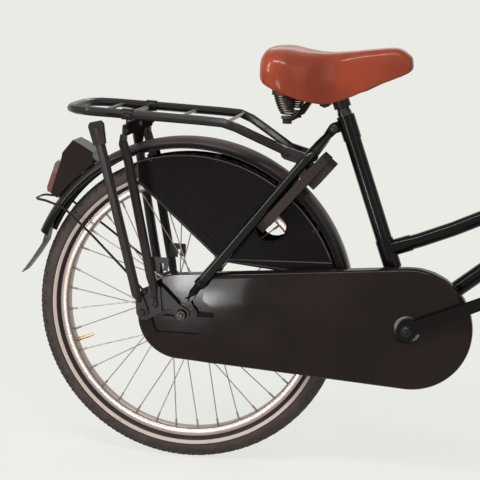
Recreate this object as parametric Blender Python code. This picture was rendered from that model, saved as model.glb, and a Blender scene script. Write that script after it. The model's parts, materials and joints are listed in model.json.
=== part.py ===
"""A children's city bicycle with 22 inch wheels: black steel frame with bolted seat stays, closed chain
case, coat guards, rear carrier, folded double-leg stand, ring lock and a sprung saddle.

Metres, +X forward, +Y to the rider's left, +Z up, standing on z = 0.
The origin is under the middle of the whole bike.
"""
import math

import bmesh
import bpy
from mathutils import Matrix, Vector

# Driving dimensions of the wheels
WHEEL_RADIUS = 0.2755
TYRE_WIDTH = 0.047
RIM_RADIUS = 0.238
RIM_INNER = 0.2195
RIM_WIDTH = 0.030
RIM_WALL = 0.0017
SPOKE_COUNT = 36
SPOKE_RADIUS = 0.0011
SPOKE_PHASE = math.radians(5.2)
SPOKE_LEAN = math.radians(52)
VALVE_LENGTH = 0.034
ROUND = 28

# Driving dimensions of the frame
WHEELBASE = 0.950
CHAINSTAY_REACH = 0.3935
BRACKET_RISE = 0.0015
BRACKET_WIDTH = 0.068
BRACKET_RADIUS = 0.0205
SEAT_ANGLE = math.radians(70)
SEAT_TUBE_LENGTH = 0.378
SEAT_TUBE_RADIUS = 0.0143
SEAT_LUG_HEIGHT = 0.043
LUG_WALL = 0.0016
TOP_TUBE_RADIUS = 0.0127
TOP_TUBE_START = 0.134
TOP_TUBE_START_ANGLE = math.radians(18.5)
TOP_TUBE_END_ANGLE = math.radians(50)
DOWN_TUBE_RADIUS = 0.0143
HEAD_ANGLE = math.radians(68.5)
HEAD_LENGTH = 0.120
HEAD_RADIUS = 0.0175
HEADSET_STACK = 0.009
FORK_RAKE = 0.045
STEERER_RADIUS = 0.0127
STEERER_BORE = 0.0112
CROWN_HEIGHT = 0.022
CROWN_HALF_DEPTH = 0.014
CROWN_BOSS = 0.0022
BLADE_SPREAD = 0.0435
BLADE_RADIUS = 0.0095
REAR_HUB_WIDTH = 0.116
FRONT_HUB_WIDTH = 0.096
DROPOUT_THICKNESS = 0.005
STAY_RADIUS = 0.008
AXLE_RADIUS = 0.005

# Driving dimensions of the covers and fittings
FENDER_CLEARANCE = 0.023
FENDER_HALF_WIDTH = 0.030
FENDER_DEPTH = 0.020
FENDER_WALL = 0.0013
FRONT_FENDER_RISE = 0.004
GUARD_RADIUS = 0.277
GUARD_Y = 0.0303
GUARD_WALL = 0.0018
GUARD_HOLE_RADIUS = 0.028
CASE_FRONT_RADIUS = 0.1065
CASE_REAR_RADIUS = 0.0765
CASE_OUTER_Y = 0.062
CASE_INNER_Y = 0.0365
CASE_WALL = 0.0014
CHAIN_LINE = 0.043
PITCH = 0.0127
RING_TEETH = 36
SPROCKET_TEETH = 18
CRANK_LENGTH = 0.152
CRANK_ANGLE = math.radians(24.6)
CRANK_Y = 0.0650
CRANK_THICKNESS = 0.012
SPINDLE_RADIUS = 0.0082
PEDAL_WIDTH = 0.086
PEDAL_DEPTH = 0.060
PEDAL_HEIGHT = 0.024
CARRIER_TUBE = 0.008
CARRIER_HALF_WIDTH = 0.085
CARRIER_RISE = 0.038
STAND_LENGTH = 0.336
STAND_ANGLE = math.radians(102.6)
LEG_RADIUS = 0.0085
PLATE_WALL = 0.004
LOCK_STANDOFF = 0.02145
LOCK_DROP = 0.0565
LOCK_BOLT_ARC = 0.054
LOCK_BOLT_RADIUS = 0.004
LOCK_HALF_THICKNESS = 0.008
SEAT_POST_RADIUS = 0.0125
SEAT_POST_LENGTH = 0.200
SEAT_POST_OUT = 0.036
SPRING_TURNS = 10
SPRING_STEPS = 8
SPRING_WIRE = 0.0016
SPRING_TOP_RADIUS = 0.0178
SPRING_FOOT_RADIUS = 0.0085
SPRING_HEIGHT = 0.044
QUILL_OUT = 0.110
STEM_REACH = 0.060
BAR_RADIUS = 0.0111
GRIP_RADIUS = 0.0155
GRIP_LENGTH = 0.115
FLAP_REACH = 0.3085
GAP = 0.0003

# Places that follow from the driving dimensions
FENDER_RADIUS = WHEEL_RADIUS + FENDER_CLEARANCE
REAR = Vector(((FLAP_REACH - WHEELBASE - WHEEL_RADIUS) / 2, 0, WHEEL_RADIUS))
FRONT = REAR + Vector((WHEELBASE, 0, 0))
BRACKET = REAR + Vector((CHAINSTAY_REACH, 0, BRACKET_RISE))
SEAT_DIR = Vector((-math.cos(SEAT_ANGLE), 0, math.sin(SEAT_ANGLE)))
SEAT_BACK = Vector((-math.sin(SEAT_ANGLE), 0, -math.cos(SEAT_ANGLE)))
SEAT_TOP = BRACKET + SEAT_DIR * SEAT_TUBE_LENGTH
STEER_DIR = Vector((-math.cos(HEAD_ANGLE), 0, math.sin(HEAD_ANGLE)))
STEER_AHEAD = Vector((math.sin(HEAD_ANGLE), 0, math.cos(HEAD_ANGLE)))
STEER_FOOT = FRONT - STEER_AHEAD * FORK_RAKE
CROWN_FOOT = math.sqrt((FENDER_RADIUS + FRONT_FENDER_RISE + GAP) ** 2 - (FORK_RAKE - CROWN_HALF_DEPTH) ** 2)
HEAD_FOOT = CROWN_FOOT + CROWN_HEIGHT + HEADSET_STACK
HEAD_TOP = HEAD_FOOT + HEAD_LENGTH
Y_AXIS = Vector((0, 1, 0))
Z_AXIS = Vector((0, 0, 1))


def steer(height, ahead=0.0, side=0.0):
    """A point beside the steering axis."""
    return STEER_FOOT + STEER_DIR * height + STEER_AHEAD * ahead + Y_AXIS * side


def rear(x, y, z):
    """A point measured from the rear axle."""
    return REAR + Vector((x, y, z))


def bike(x, y, z):
    """A point measured from the ground under the rear axle."""
    return Vector((REAR.x + x, y, z))


FENDER_CENTRE = rear(-0.002, 0, 0.0085)
CARRIER_HEIGHT = FENDER_CENTRE.z + FENDER_RADIUS + CARRIER_RISE
LOCK_TOP = FENDER_RADIUS + 0.010
LOCK_CENTRE = LOCK_TOP - LOCK_DROP


# Scene and materials
for old in list(bpy.data.objects):
    bpy.data.objects.remove(old, do_unlink=True)
COLLECTION = bpy.context.scene.collection


def finish(name, colour, roughness, metallic=0.0):
    made = bpy.data.materials.new(name)
    made.use_nodes = True
    shader = made.node_tree.nodes["Principled BSDF"]
    shader.inputs["Base Color"].default_value = (*colour, 1)
    shader.inputs["Roughness"].default_value = roughness
    shader.inputs["Metallic"].default_value = metallic
    return made


GLOSS = finish("gloss_black", (0.012, 0.011, 0.012), 0.12)
SATIN = finish("satin_black", (0.035, 0.031, 0.032), 0.38)
RUBBER = finish("black_rubber", (0.045, 0.038, 0.038), 0.72)
POLISHED = finish("polished_rim", (0.72, 0.66, 0.65), 0.22, 1.0)
ZINC = finish("zinc_steel", (0.55, 0.53, 0.52), 0.35, 1.0)
VINYL = finish("coat_guard_vinyl", (0.016, 0.013, 0.014), 0.3)
LEATHER = finish("brown_saddle", (0.36, 0.09, 0.04), 0.35)
RED = finish("red_lens", (0.55, 0.03, 0.02), 0.15)
CLEAR = finish("clear_lens", (0.9, 0.9, 0.9), 0.05)
PLASTIC = finish("dark_plastic", (0.03, 0.027, 0.028), 0.45)


def pivot(name, place):
    """An empty on a joint's axis, to carry the pieces that move on it."""
    empty = bpy.data.objects.new(name, None)
    empty.location = place
    COLLECTION.objects.link(empty)
    return empty


def piece(name, mesh, material, carrier=None, sharp=35):
    """A named object of the bike, standing where its mesh says, carried by an empty where it moves."""
    mesh.name = name
    mesh.materials.clear()
    mesh.materials.append(material)
    mesh.shade_smooth()
    mesh.set_sharp_from_angle(angle=math.radians(sharp))
    made = bpy.data.objects.new(name, mesh)
    COLLECTION.objects.link(made)
    if carrier is not None:
        made.parent = carrier
        made.matrix_parent_inverse = Matrix.Translation(-carrier.location)
    return made


# Shapes
def mesh_from(bm, merge=1e-6):
    bmesh.ops.remove_doubles(bm, verts=bm.verts, dist=merge)
    bmesh.ops.recalc_face_normals(bm, faces=bm.faces)
    mesh = bpy.data.meshes.new("shape")
    bm.to_mesh(mesh)
    bm.free()
    return mesh


def slab(outline, low, high, origin=Vector(), across=Vector((1, 0, 0)), up=Z_AXIS, through=Y_AXIS):
    """A flat outline made thick from low to high along its normal."""
    bm = bmesh.new()
    verts = [bm.verts.new(origin + across * a + up * b + through * low) for a, b in outline]
    made = bmesh.ops.extrude_face_region(bm, geom=[bm.faces.new(verts)])
    moved = [v for v in made["geom"] if isinstance(v, bmesh.types.BMVert)]
    bmesh.ops.translate(bm, verts=moved, vec=through * (high - low))
    return mesh_from(bm)


def is_flat_pole(vert, centre, axis):
    """Whether a point is the middle of a flat round end, which needs no point there."""
    off = vert.co - centre
    beside = (off - axis * off.dot(axis)).length
    level = [abs((edge.other_vert(vert).co - vert.co).dot(axis)) for edge in vert.link_edges]
    return beside < 2e-6 and max(level) < 2e-6


def turned(profile, centre, axis, steps, closed=True, phase=0.0):
    """A profile of (distance along the axis, radius) spun once round the axis."""
    axis = axis.normalized()
    side = axis.orthogonal().normalized() if abs(axis.y) < 0.99 else Vector((1, 0, 0))
    side = Matrix.Rotation(phase, 3, axis) @ side
    bm = bmesh.new()
    verts = [bm.verts.new(centre + axis * a + side * r) for a, r in profile]
    count = len(verts)
    edges = [bm.edges.new((verts[i], verts[(i + 1) % count])) for i in range(count if closed else count - 1)]
    bmesh.ops.spin(
        bm, geom=verts + edges, cent=centre, axis=axis, angle=2 * math.pi, steps=steps, use_merge=True,
    )
    bmesh.ops.remove_doubles(bm, verts=bm.verts, dist=1e-6)
    bmesh.ops.dissolve_verts(bm, verts=[v for v in bm.verts if is_flat_pole(v, centre, axis)])
    return mesh_from(bm)


def rod(start, end, radius, sides=12, end_radius=None):
    """A round bar or cone between two points."""
    axis = end - start
    tip = radius if end_radius is None else end_radius
    profile = [(0, 0), (0, radius), (axis.length, tip), (axis.length, 0)]
    return turned(profile, start, axis, sides, closed=False)


def pipe(points, radius, detail=2, radii=None, ring=False):
    """A curve with a round bevel and filled caps, as a mesh. It has 4 + 2 * detail sides."""
    curve = bpy.data.curves.new("path", "CURVE")
    curve.dimensions = "3D"
    curve.bevel_depth = radius
    curve.bevel_resolution = detail
    curve.use_fill_caps = True
    spline = curve.splines.new("POLY")
    spline.points.add(len(points) - 1)
    for i, point in enumerate(points):
        spline.points[i].co = (*point, 1)
        spline.points[i].radius = 1 if radii is None else radii[i]
    spline.use_cyclic_u = ring
    holder = bpy.data.objects.new("path", curve)
    COLLECTION.objects.link(holder)
    graph = bpy.context.evaluated_depsgraph_get()
    mesh = bpy.data.meshes.new_from_object(holder.evaluated_get(graph))
    bpy.data.objects.remove(holder)
    bm = bmesh.new()
    bm.from_mesh(mesh)
    return mesh_from(bm, 1e-5)


def swept(sections):
    """A skin bridged over closed sections of equal count, with both ends filled."""
    bm = bmesh.new()
    rings = [[bm.verts.new(p) for p in section] for section in sections]
    count = len(rings[0])
    for near, far in zip(rings, rings[1:]):
        for i in range(count):
            j = (i + 1) % count
            bm.faces.new((near[i], near[j], far[j], far[i]))
    bm.faces.new(rings[0])
    bm.faces.new(rings[-1])
    return mesh_from(bm)


def box(low, high):
    """A block between two corners."""
    outline = [(low[0], low[2]), (high[0], low[2]), (high[0], high[2]), (low[0], high[2])]
    return slab(outline, low[1], high[1])


def fused(base, joins=(), cuts=()):
    """One closed mesh: the base with other meshes joined to it, and others cut out of it."""
    holder = bpy.data.objects.new("fused", base)
    COLLECTION.objects.link(holder)
    helpers = []
    for operation, shapes in (("UNION", joins), ("DIFFERENCE", cuts)):
        if not shapes:
            continue
        group = bpy.data.collections.new(operation)
        COLLECTION.children.link(group)
        for shape in shapes:
            helper = bpy.data.objects.new("helper", shape)
            group.objects.link(helper)
            helpers.append(helper)
        step = holder.modifiers.new(operation, "BOOLEAN")
        step.operation = operation
        step.solver = "EXACT"
        step.operand_type = "COLLECTION"
        step.collection = group
    graph = bpy.context.evaluated_depsgraph_get()
    mesh = bpy.data.meshes.new_from_object(holder.evaluated_get(graph))
    for helper in helpers + [holder]:
        bpy.data.objects.remove(helper)
    for group in list(COLLECTION.children):
        bpy.data.collections.remove(group)
    bm = bmesh.new()
    bm.from_mesh(mesh)
    bmesh.ops.dissolve_degenerate(bm, edges=bm.edges, dist=2e-6)
    return mesh_from(bm, 1e-8)


def arc(centre, radius, start, end, steps):
    """Points on an arc in a plane, angles in degrees."""
    turn = [math.radians(start + (end - start) * i / steps) for i in range(steps + 1)]
    return [(centre[0] + radius * math.cos(a), centre[1] + radius * math.sin(a)) for a in turn]


def flow(knots, steps):
    """A smooth path through chosen points, with a few steps between each pair."""
    ends = [knots[0] * 2 - knots[1], *knots, knots[-1] * 2 - knots[-2]]
    path = []
    for a, b, c, d in zip(ends, ends[1:], ends[2:], ends[3:]):
        for i in range(steps):
            t = i / steps
            bend = (2 * a - 5 * b + 4 * c - d) * t ** 2 + (3 * b - a - 3 * c + d) * t ** 3
            path.append(0.5 * (2 * b + (c - a) * t + bend))
    return path + [knots[-1]]


def capsule(a, b, radius_a, radius_b, steps=6):
    """The outline round two circles in a plane."""
    span = math.hypot(b[0] - a[0], b[1] - a[1])
    heading = math.degrees(math.atan2(b[1] - a[1], b[0] - a[0]))
    lean = math.degrees(math.acos((radius_a - radius_b) / span))
    far = arc(b, radius_b, heading - lean, heading + lean, steps)
    return far + arc(a, radius_a, heading + lean, heading + 360 - lean, steps)


# Frame: main tubes and lugs
BRACKET_HALF = BRACKET_WIDTH / 2
CUP_RADIUS = 0.0180
BORE_SLACK = 0.0002
EAR_HALF = 0.006
EAR_BACK = 0.0246
EAR_RADIUS = 0.0095
STAY_BOLT_RADIUS = 0.004
STAY_BOLT = BRACKET + SEAT_DIR * (SEAT_TUBE_LENGTH - 0.0153) + SEAT_BACK * EAR_BACK
DROPOUT_INNER = REAR_HUB_WIDTH / 2
DROPOUT_OUTER = DROPOUT_INNER + DROPOUT_THICKNESS
STAY_FOOT = (0.007, 0.0255)


def top_tube_path():
    """From the seat tube the top tube starts flat and bends up steadily to the head tube."""
    start = BRACKET + SEAT_DIR * TOP_TUBE_START
    end = steer(HEAD_TOP - 0.027)
    first = Vector((math.cos(TOP_TUBE_START_ANGLE), 0, math.sin(TOP_TUBE_START_ANGLE)))
    last = Vector((math.cos(TOP_TUBE_END_ANGLE), 0, math.sin(TOP_TUBE_END_ANGLE)))
    span = end - start
    reach = (span.x * last.z - span.z * last.x) / (first.x * last.z - first.z * last.x)
    corner = start + first * reach
    shares = [i / 9 for i in range(10)]
    return [start.lerp(corner, t).lerp(corner.lerp(end, t), t) for t in shares]


def dropout(side):
    """A rear-facing track end with an ear above it for the bolted seat stay."""
    outline = [(-0.034, -0.012), (0.014, -0.012), (0.026, -0.005), (0.026, 0.008), (0.018, 0.016)]
    outline += arc(STAY_FOOT, 0.009, -20, 200, 6)
    outline += [(-0.006, 0.014), (-0.034, 0.013)]
    plate = slab(outline, DROPOUT_INNER * side, DROPOUT_OUTER * side, REAR)
    slot = arc((0, 0), AXLE_RADIUS + GAP, -90, 90, 6)
    slot += [(-0.05, AXLE_RADIUS + GAP), (-0.05, -AXLE_RADIUS - GAP)]
    through = (DROPOUT_OUTER + 0.01) * side
    cutter = slab(slot, (DROPOUT_INNER - 0.01) * side, through, REAR)
    return fused(plate, cuts=[cutter])


def chainstay(side):
    """A stay that leaves the bracket, passes the tyre and meets the track end."""
    reach = CHAINSTAY_REACH
    knots = [(reach - 0.012, 0.020), (reach - 0.060, 0.031), (reach - 0.130, 0.0375), (reach - 0.245, 0.044)]
    knots += [(0.090, 0.048), (0.048, DROPOUT_INNER - 0.005), (0.020, DROPOUT_INNER - 0.001)]
    path = [rear(x, y * side, BRACKET_RISE * x / reach) for x, y in knots]
    return pipe(path, STAY_RADIUS, 2, [1, 1, 1, 1, 1, 0.72, 0.62])


def sleeved(start, axis, length, radius, sleeves, steps):
    """A tube with raised sleeves, each given by its two heights."""
    profile = [(0, 0)]
    if sleeves[0][0] > 0:
        profile.append((0, radius))
    for low, high in sleeves:
        step = [(low, radius), (low, radius + LUG_WALL), (high, radius + LUG_WALL), (high, radius)]
        profile += [(along, r) for along, r in step if r > radius or 0 < along < length]
    return turned(profile + [(length, 0)], start, axis, steps, closed=False)


def frame_mesh():
    seat_sleeves = [(TOP_TUBE_START - 0.034, TOP_TUBE_START + 0.018)]
    seat_sleeves.append((SEAT_TUBE_LENGTH - SEAT_LUG_HEIGHT, SEAT_TUBE_LENGTH))
    seat_core = sleeved(BRACKET, SEAT_DIR, SEAT_TUBE_LENGTH, SEAT_TUBE_RADIUS, seat_sleeves, 12)
    top_path = top_tube_path()
    top = pipe(top_path, TOP_TUBE_RADIUS, 3)
    lug_end = top_path[0] + (top_path[1] - top_path[0]).normalized() * 0.044
    top_lug = rod(top_path[0], lug_end, TOP_TUBE_RADIUS + LUG_WALL, 12)
    down_end = steer(HEAD_FOOT + 0.026)
    down = rod(BRACKET, down_end, DOWN_TUBE_RADIUS, 12)
    down_dir = (down_end - BRACKET).normalized()
    down_lug = rod(down_end - down_dir * 0.052, down_end, DOWN_TUBE_RADIUS + LUG_WALL, 12)
    head_dir = (top_path[-1] - top_path[-2]).normalized()
    head_lug = rod(top_path[-1] - head_dir * 0.048, top_path[-1], TOP_TUBE_RADIUS + LUG_WALL, 12)
    head_sleeves = [(0, 0.009), (HEAD_LENGTH - 0.009, HEAD_LENGTH)]
    head = sleeved(steer(HEAD_FOOT), STEER_DIR, HEAD_LENGTH, HEAD_RADIUS, head_sleeves, 12)
    shell = rod(BRACKET - Y_AXIS * BRACKET_HALF, BRACKET + Y_AXIS * BRACKET_HALF, BRACKET_RADIUS, 12)
    ear = slab(
        capsule((0, 0), (0.013, 0), EAR_RADIUS, EAR_RADIUS),
        -EAR_HALF, EAR_HALF, STAY_BOLT, -SEAT_BACK, SEAT_DIR,
    )
    bridge_x = FENDER_RADIUS + GAP
    bridge = box(rear(bridge_x, -0.034, -0.004), rear(bridge_x + 0.004, 0.034, 0.030))
    joins = [top, top_lug, down, down_lug, head_lug, head, shell, ear, bridge]
    for side in (-1, 1):
        joins += [chainstay(side), dropout(side)]
    seat_radius = SEAT_POST_RADIUS + BORE_SLACK
    seat_bore = rod(SEAT_TOP - SEAT_DIR * 0.21, SEAT_TOP + SEAT_DIR * 0.02, seat_radius, 12)
    head_bore = rod(steer(HEAD_FOOT - 0.02), steer(HEAD_TOP + 0.02), STEERER_RADIUS + 0.0014, 12)
    past = Y_AXIS * (BRACKET_HALF + 0.01)
    shell_bore = rod(BRACKET - past, BRACKET + past, BRACKET_RADIUS - 0.0045, 12)
    bolt_past = Y_AXIS * (EAR_HALF + 0.01)
    ear_bore = rod(STAY_BOLT - bolt_past, STAY_BOLT + bolt_past, STAY_BOLT_RADIUS + GAP, 8)
    return fused(seat_core, joins, [seat_bore, head_bore, shell_bore, ear_bore])


piece("frame", frame_mesh(), GLOSS)

# Frame: bolted seat stays
EYE_WALL = 0.004
STAY_SPREAD = 0.040
STAY_KINK = 0.066
STAY_TAB_INNER = DROPOUT_OUTER + GAP


def stay_line():
    """The seat stay's ends in side view: the seat lug's bolt and the ear above the track end."""
    foot = REAR + Vector((STAY_FOOT[0], 0, STAY_FOOT[1]))
    return STAY_BOLT, foot


def seat_stay(side):
    top, foot = stay_line()
    down = (foot - top).normalized()
    eye_mid = EAR_HALF + GAP + EYE_WALL / 2
    tab_mid = STAY_TAB_INNER + EYE_WALL / 2
    kink = top + down * STAY_KINK + Y_AXIS * STAY_SPREAD * side
    low = foot - down * 0.020 + Y_AXIS * (tab_mid + 0.0065) * side
    path = [top + down * 0.010 + Y_AXIS * (eye_mid + 0.001) * side]
    path += [top + down * 0.030 + Y_AXIS * 0.020 * side]
    path += [kink, kink.lerp(low, 0.12), kink.lerp(low, 0.5), kink.lerp(low, 0.9), low]
    path += [foot - down * 0.006 + Y_AXIS * tab_mid * side]
    tube = pipe(path, STAY_RADIUS, 2, [0.4, 0.85, 1, 1, 1, 1, 0.8, 0.22])
    across = Y_AXIS.cross(down).normalized()
    inner = (EAR_HALF + GAP) * side
    eye = slab(capsule((0, 0), (0, 0.024), 0.0092, 0.006), inner, inner + EYE_WALL * side, top, across, down)
    inner = STAY_TAB_INNER * side
    outline = capsule((0, 0), (0, -0.022), 0.0088, 0.006)
    tab = slab(outline, inner, inner + EYE_WALL * side, foot, across, down)
    bolt = foot + Y_AXIS * inner
    head = rod(bolt + Y_AXIS * EYE_WALL * side * 0.5, bolt + Y_AXIS * (EYE_WALL + 0.004) * side, 0.0052, 6)
    bore = rod(top - Y_AXIS * 0.03, top + Y_AXIS * 0.03, STAY_BOLT_RADIUS + GAP, 8)
    return fused(tube, [eye, tab, head], [bore])


for side, label in ((-1, "right"), (1, "left")):
    piece("seat_stay_" + label, seat_stay(side), GLOSS)

reach = EAR_HALF + GAP + EYE_WALL + GAP
bolt_profile = [(-reach - 0.0045, 0), (-reach - 0.0045, 0.004), (-reach - 0.0025, 0.0075), (-reach, 0.0078)]
bolt_profile += [(-reach, STAY_BOLT_RADIUS), (reach, STAY_BOLT_RADIUS), (reach, 0.0075)]
bolt_profile += [(reach + 0.005, 0.0075), (reach + 0.005, 0)]
piece("seat_stay_bolt", turned(bolt_profile, STAY_BOLT, Y_AXIS, 8, closed=False), ZINC)

# Wheels
TYRE_MID = WHEEL_RADIUS - TYRE_WIDTH / 2
TYRE_HALF = TYRE_WIDTH / 2


def tyre_mesh(hub):
    """A hollow casing whose beads sit between the rim's flanges."""
    bead = RIM_WIDTH / 2 - RIM_WALL - GAP
    seat = RIM_RADIUS - 0.0090
    half = [(bead, seat), (bead, RIM_RADIUS + 0.001), (TYRE_HALF, TYRE_MID - 0.003)]
    half += [(TYRE_HALF * 0.80, WHEEL_RADIUS - 0.0085), (TYRE_HALF * 0.34, WHEEL_RADIUS)]
    outer = half + [(-y, r) for y, r in reversed(half)]
    inner = [(-bead + 0.0035, seat), (0, WHEEL_RADIUS - 0.0080), (bead - 0.0035, seat)]
    return turned(outer + inner, hub, Y_AXIS, ROUND, phase=math.pi / 2)


def rim_mesh(hub):
    """A drop-centre rim with tall polished side walls, and the valve stem through it."""
    side = RIM_WIDTH / 2
    lip = side - RIM_WALL
    half = [(side * 0.5, RIM_INNER), (side, RIM_INNER + 0.0065), (side, RIM_RADIUS)]
    half += [(lip, RIM_RADIUS), (lip, RIM_RADIUS - 0.0095)]
    profile = half + [(-y, r) for y, r in reversed(half)]
    ring = turned(profile, hub, Y_AXIS, ROUND, phase=math.pi / 2)
    angle = SPOKE_PHASE + math.radians(195)
    out = Vector((math.cos(angle), 0, math.sin(angle)))
    base = hub + out * (RIM_INNER + 0.002)
    stem = rod(base, hub + out * (RIM_INNER - VALVE_LENGTH), 0.003, 8)
    return fused(ring, [stem])


def spoke_ends(hub, flange_y, flange_r, index):
    """A spoke's hub end and rim end. Neighbours use opposite flanges, and every other pair leans back."""
    rim_angle = SPOKE_PHASE + 2 * math.pi * index / SPOKE_COUNT
    side = 1 if index % 2 else -1
    lean = SPOKE_LEAN if index % 4 < 2 else -SPOKE_LEAN
    weave = 0.0016 if index % 4 < 2 else -0.0016
    hub_angle = rim_angle + lean
    inner = Vector((math.cos(hub_angle), 0, math.sin(hub_angle))) * flange_r
    reach = RIM_INNER * math.cos(math.pi / ROUND) - 3 * GAP
    outer = Vector((math.cos(rim_angle), 0, math.sin(rim_angle))) * reach
    return hub + inner + Y_AXIS * (side * flange_y + weave), hub + outer + Y_AXIS * side * 0.003


def spoked_hub(hub, profile, flange_y, flange_r):
    """The hub shell with its laced spokes and their nipples, as one piece."""
    bm = bmesh.new()
    for index in range(SPOKE_COUNT):
        inner, outer = spoke_ends(hub, flange_y, flange_r, index)
        bm.from_mesh(rod(inner, outer, SPOKE_RADIUS, 3, SPOKE_RADIUS * 1.3))
    spokes = bpy.data.meshes.new("spokes")
    bm.to_mesh(spokes)
    bm.free()
    return fused(turned(profile, hub, Y_AXIS, 12), [spokes])


REAR_FLANGE_Y = 0.0270
REAR_FLANGE_R = 0.0310
FRONT_FLANGE_Y = 0.0320
FRONT_FLANGE_R = 0.0185
FLANGE_HALF = 0.0022
CONE_RADIUS = 0.0096


def hub_profile(flange_y, flange_r, barrel, bore, end_y, end_r):
    """Half of a hub shell from its bore out, mirrored to the other end."""
    near = flange_y - FLANGE_HALF
    far = flange_y + FLANGE_HALF
    edge = flange_r + 0.0035
    half = [(end_y, bore), (end_y, end_r), (far, end_r), (far, edge), (near, edge), (near, barrel)]
    return half + [(-y, r) for y, r in reversed(half)]


rear_spin = pivot("rear_wheel_axis", REAR)
front_spin = pivot("front_wheel_axis", FRONT)
piece("rear_tyre", tyre_mesh(REAR), RUBBER, rear_spin)
piece("rear_rim", rim_mesh(REAR), POLISHED, rear_spin)
profile = hub_profile(REAR_FLANGE_Y, REAR_FLANGE_R, 0.024, CONE_RADIUS + 2 * GAP, 0.034, 0.021)
piece("rear_hub_and_spokes", spoked_hub(REAR, profile, REAR_FLANGE_Y, REAR_FLANGE_R), ZINC, rear_spin)
piece("front_tyre", tyre_mesh(FRONT), RUBBER, front_spin)
piece("front_rim", rim_mesh(FRONT), POLISHED, front_spin)
profile = hub_profile(FRONT_FLANGE_Y, FRONT_FLANGE_R, 0.013, CONE_RADIUS + 2 * GAP, 0.038, 0.0135)
piece("front_hub_and_spokes", spoked_hub(FRONT, profile, FRONT_FLANGE_Y, FRONT_FLANGE_R), ZINC, front_spin)

# Axles, with their cones and nuts
STAND_PLATE_INNER = DROPOUT_OUTER + GAP
STAND_PLATE_OUTER = STAND_PLATE_INNER + PLATE_WALL


def axle_mesh(hub, cone_y, inner_face, outer_face):
    """The threaded axle with a cone at each end of the hub and a nut outside each plate."""
    half = [(cone_y - 0.008, AXLE_RADIUS), (cone_y - 0.008, CONE_RADIUS), (cone_y + 0.001, CONE_RADIUS)]
    half += [(inner_face - GAP, 0.0085), (inner_face - GAP, AXLE_RADIUS), (outer_face + GAP, AXLE_RADIUS)]
    half += [(outer_face + GAP, 0.0100), (outer_face + 0.0085, 0.0082), (outer_face + 0.0085, AXLE_RADIUS)]
    half += [(outer_face + 0.0125, AXLE_RADIUS - 0.0008), (outer_face + 0.0125, 0)]
    profile = [(-y, r) for y, r in reversed(half)] + half
    return turned(profile, hub, Y_AXIS, 8, closed=False)


# Rear transmission: sprocket, chain, chainring
def toothed_disc(count, width, centre):
    """A sprocket blank for a half-inch roller chain."""
    root = PITCH / (2 * math.sin(math.pi / count)) - 0.0040
    tip = root + 0.0056
    step = 2 * math.pi / count
    outline = []
    for tooth in range(count):
        for share, radius in ((0.0, tip), (0.5, root)):
            angle = (tooth + share) * step
            outline.append((radius * math.cos(angle), radius * math.sin(angle)))
    low = -CHAIN_LINE - width / 2
    return slab(outline, low, low + width, centre)


def hull_of_circles(front, rear_radius, front_radius, steps_rear, steps_front):
    """The convex outline round a circle at the origin and a larger one at front."""
    distance = math.hypot(*front)
    heading = math.degrees(math.atan2(front[1], front[0]))
    lean = math.degrees(math.acos((rear_radius - front_radius) / distance))
    ahead = arc(front, front_radius, heading - lean, heading + lean, steps_front)
    behind = arc((0, 0), rear_radius, heading + lean, heading + 360 - lean, steps_rear)
    return ahead, behind


SPROCKET_PITCH = PITCH / (2 * math.sin(math.pi / SPROCKET_TEETH))
RING_PITCH = PITCH / (2 * math.sin(math.pi / RING_TEETH))
TO_BRACKET = (CHAINSTAY_REACH, BRACKET_RISE)


def chain_mesh():
    """The chain as one band with a groove that clears the teeth."""
    sections = []
    width = 0.0042
    groove = 0.0022
    for depth, y in (
        (0.0043, width), (-0.0043, width), (-0.0043, groove), (0.0026, groove),
        (0.0026, -groove), (-0.0043, -groove), (-0.0043, -width), (0.0043, -width),
    ):
        ahead, behind = hull_of_circles(TO_BRACKET, SPROCKET_PITCH + depth, RING_PITCH + depth, 8, 12)
        runs = []
        for start, end in ((ahead[-1], behind[0]), (behind[-1], ahead[0])):
            start, end = Vector(start), Vector(end)
            runs.append([tuple(start.lerp(end, share)) for share in (0.25, 0.5, 0.75)])
        loop = ahead + runs[0] + behind + runs[1]
        sections.append([rear(x, y - CHAIN_LINE, z) for x, z in loop])
    bm = bmesh.new()
    rings = [[bm.verts.new(p) for p in section] for section in sections]
    count = len(rings[0])
    for near, far in zip(rings, rings[1:] + rings[:1]):
        for i in range(count):
            j = (i + 1) % count
            bm.faces.new((near[i], near[j], far[j], far[i]))
    return mesh_from(bm)


sprocket_spin = pivot("sprocket_axis", REAR)
disc = toothed_disc(SPROCKET_TEETH, 0.0030, REAR)
boss = rod(rear(0, -0.0500, 0), rear(0, -0.0345, 0), 0.0170, 12)
bore = rod(rear(0, -0.08, 0), rear(0, 0, 0), CONE_RADIUS + 2 * GAP, 12)
piece("rear_sprocket", fused(disc, [boss], [bore]), ZINC, sprocket_spin)
piece("chain", chain_mesh(), ZINC)

crank_spin = pivot("crank_axis", BRACKET)
disc = toothed_disc(RING_TEETH, 0.0030, BRACKET)
bore = rod(BRACKET - Y_AXIS * 0.1, BRACKET, SPINDLE_RADIUS + GAP, 12)
boss = rod(BRACKET - Y_AXIS * (CHAIN_LINE + 0.012), BRACKET - Y_AXIS * (CHAIN_LINE - 0.004), 0.0150, 12)
piece("chainring", fused(disc, [boss], [bore]), ZINC, crank_spin)

# Bracket: spindle, cups, cranks and pedals
PEDAL_START = 0.004
PEDAL_AXLE_RADIUS = 0.0042
BOSS_FACE = CHAIN_LINE + 0.012


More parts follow.
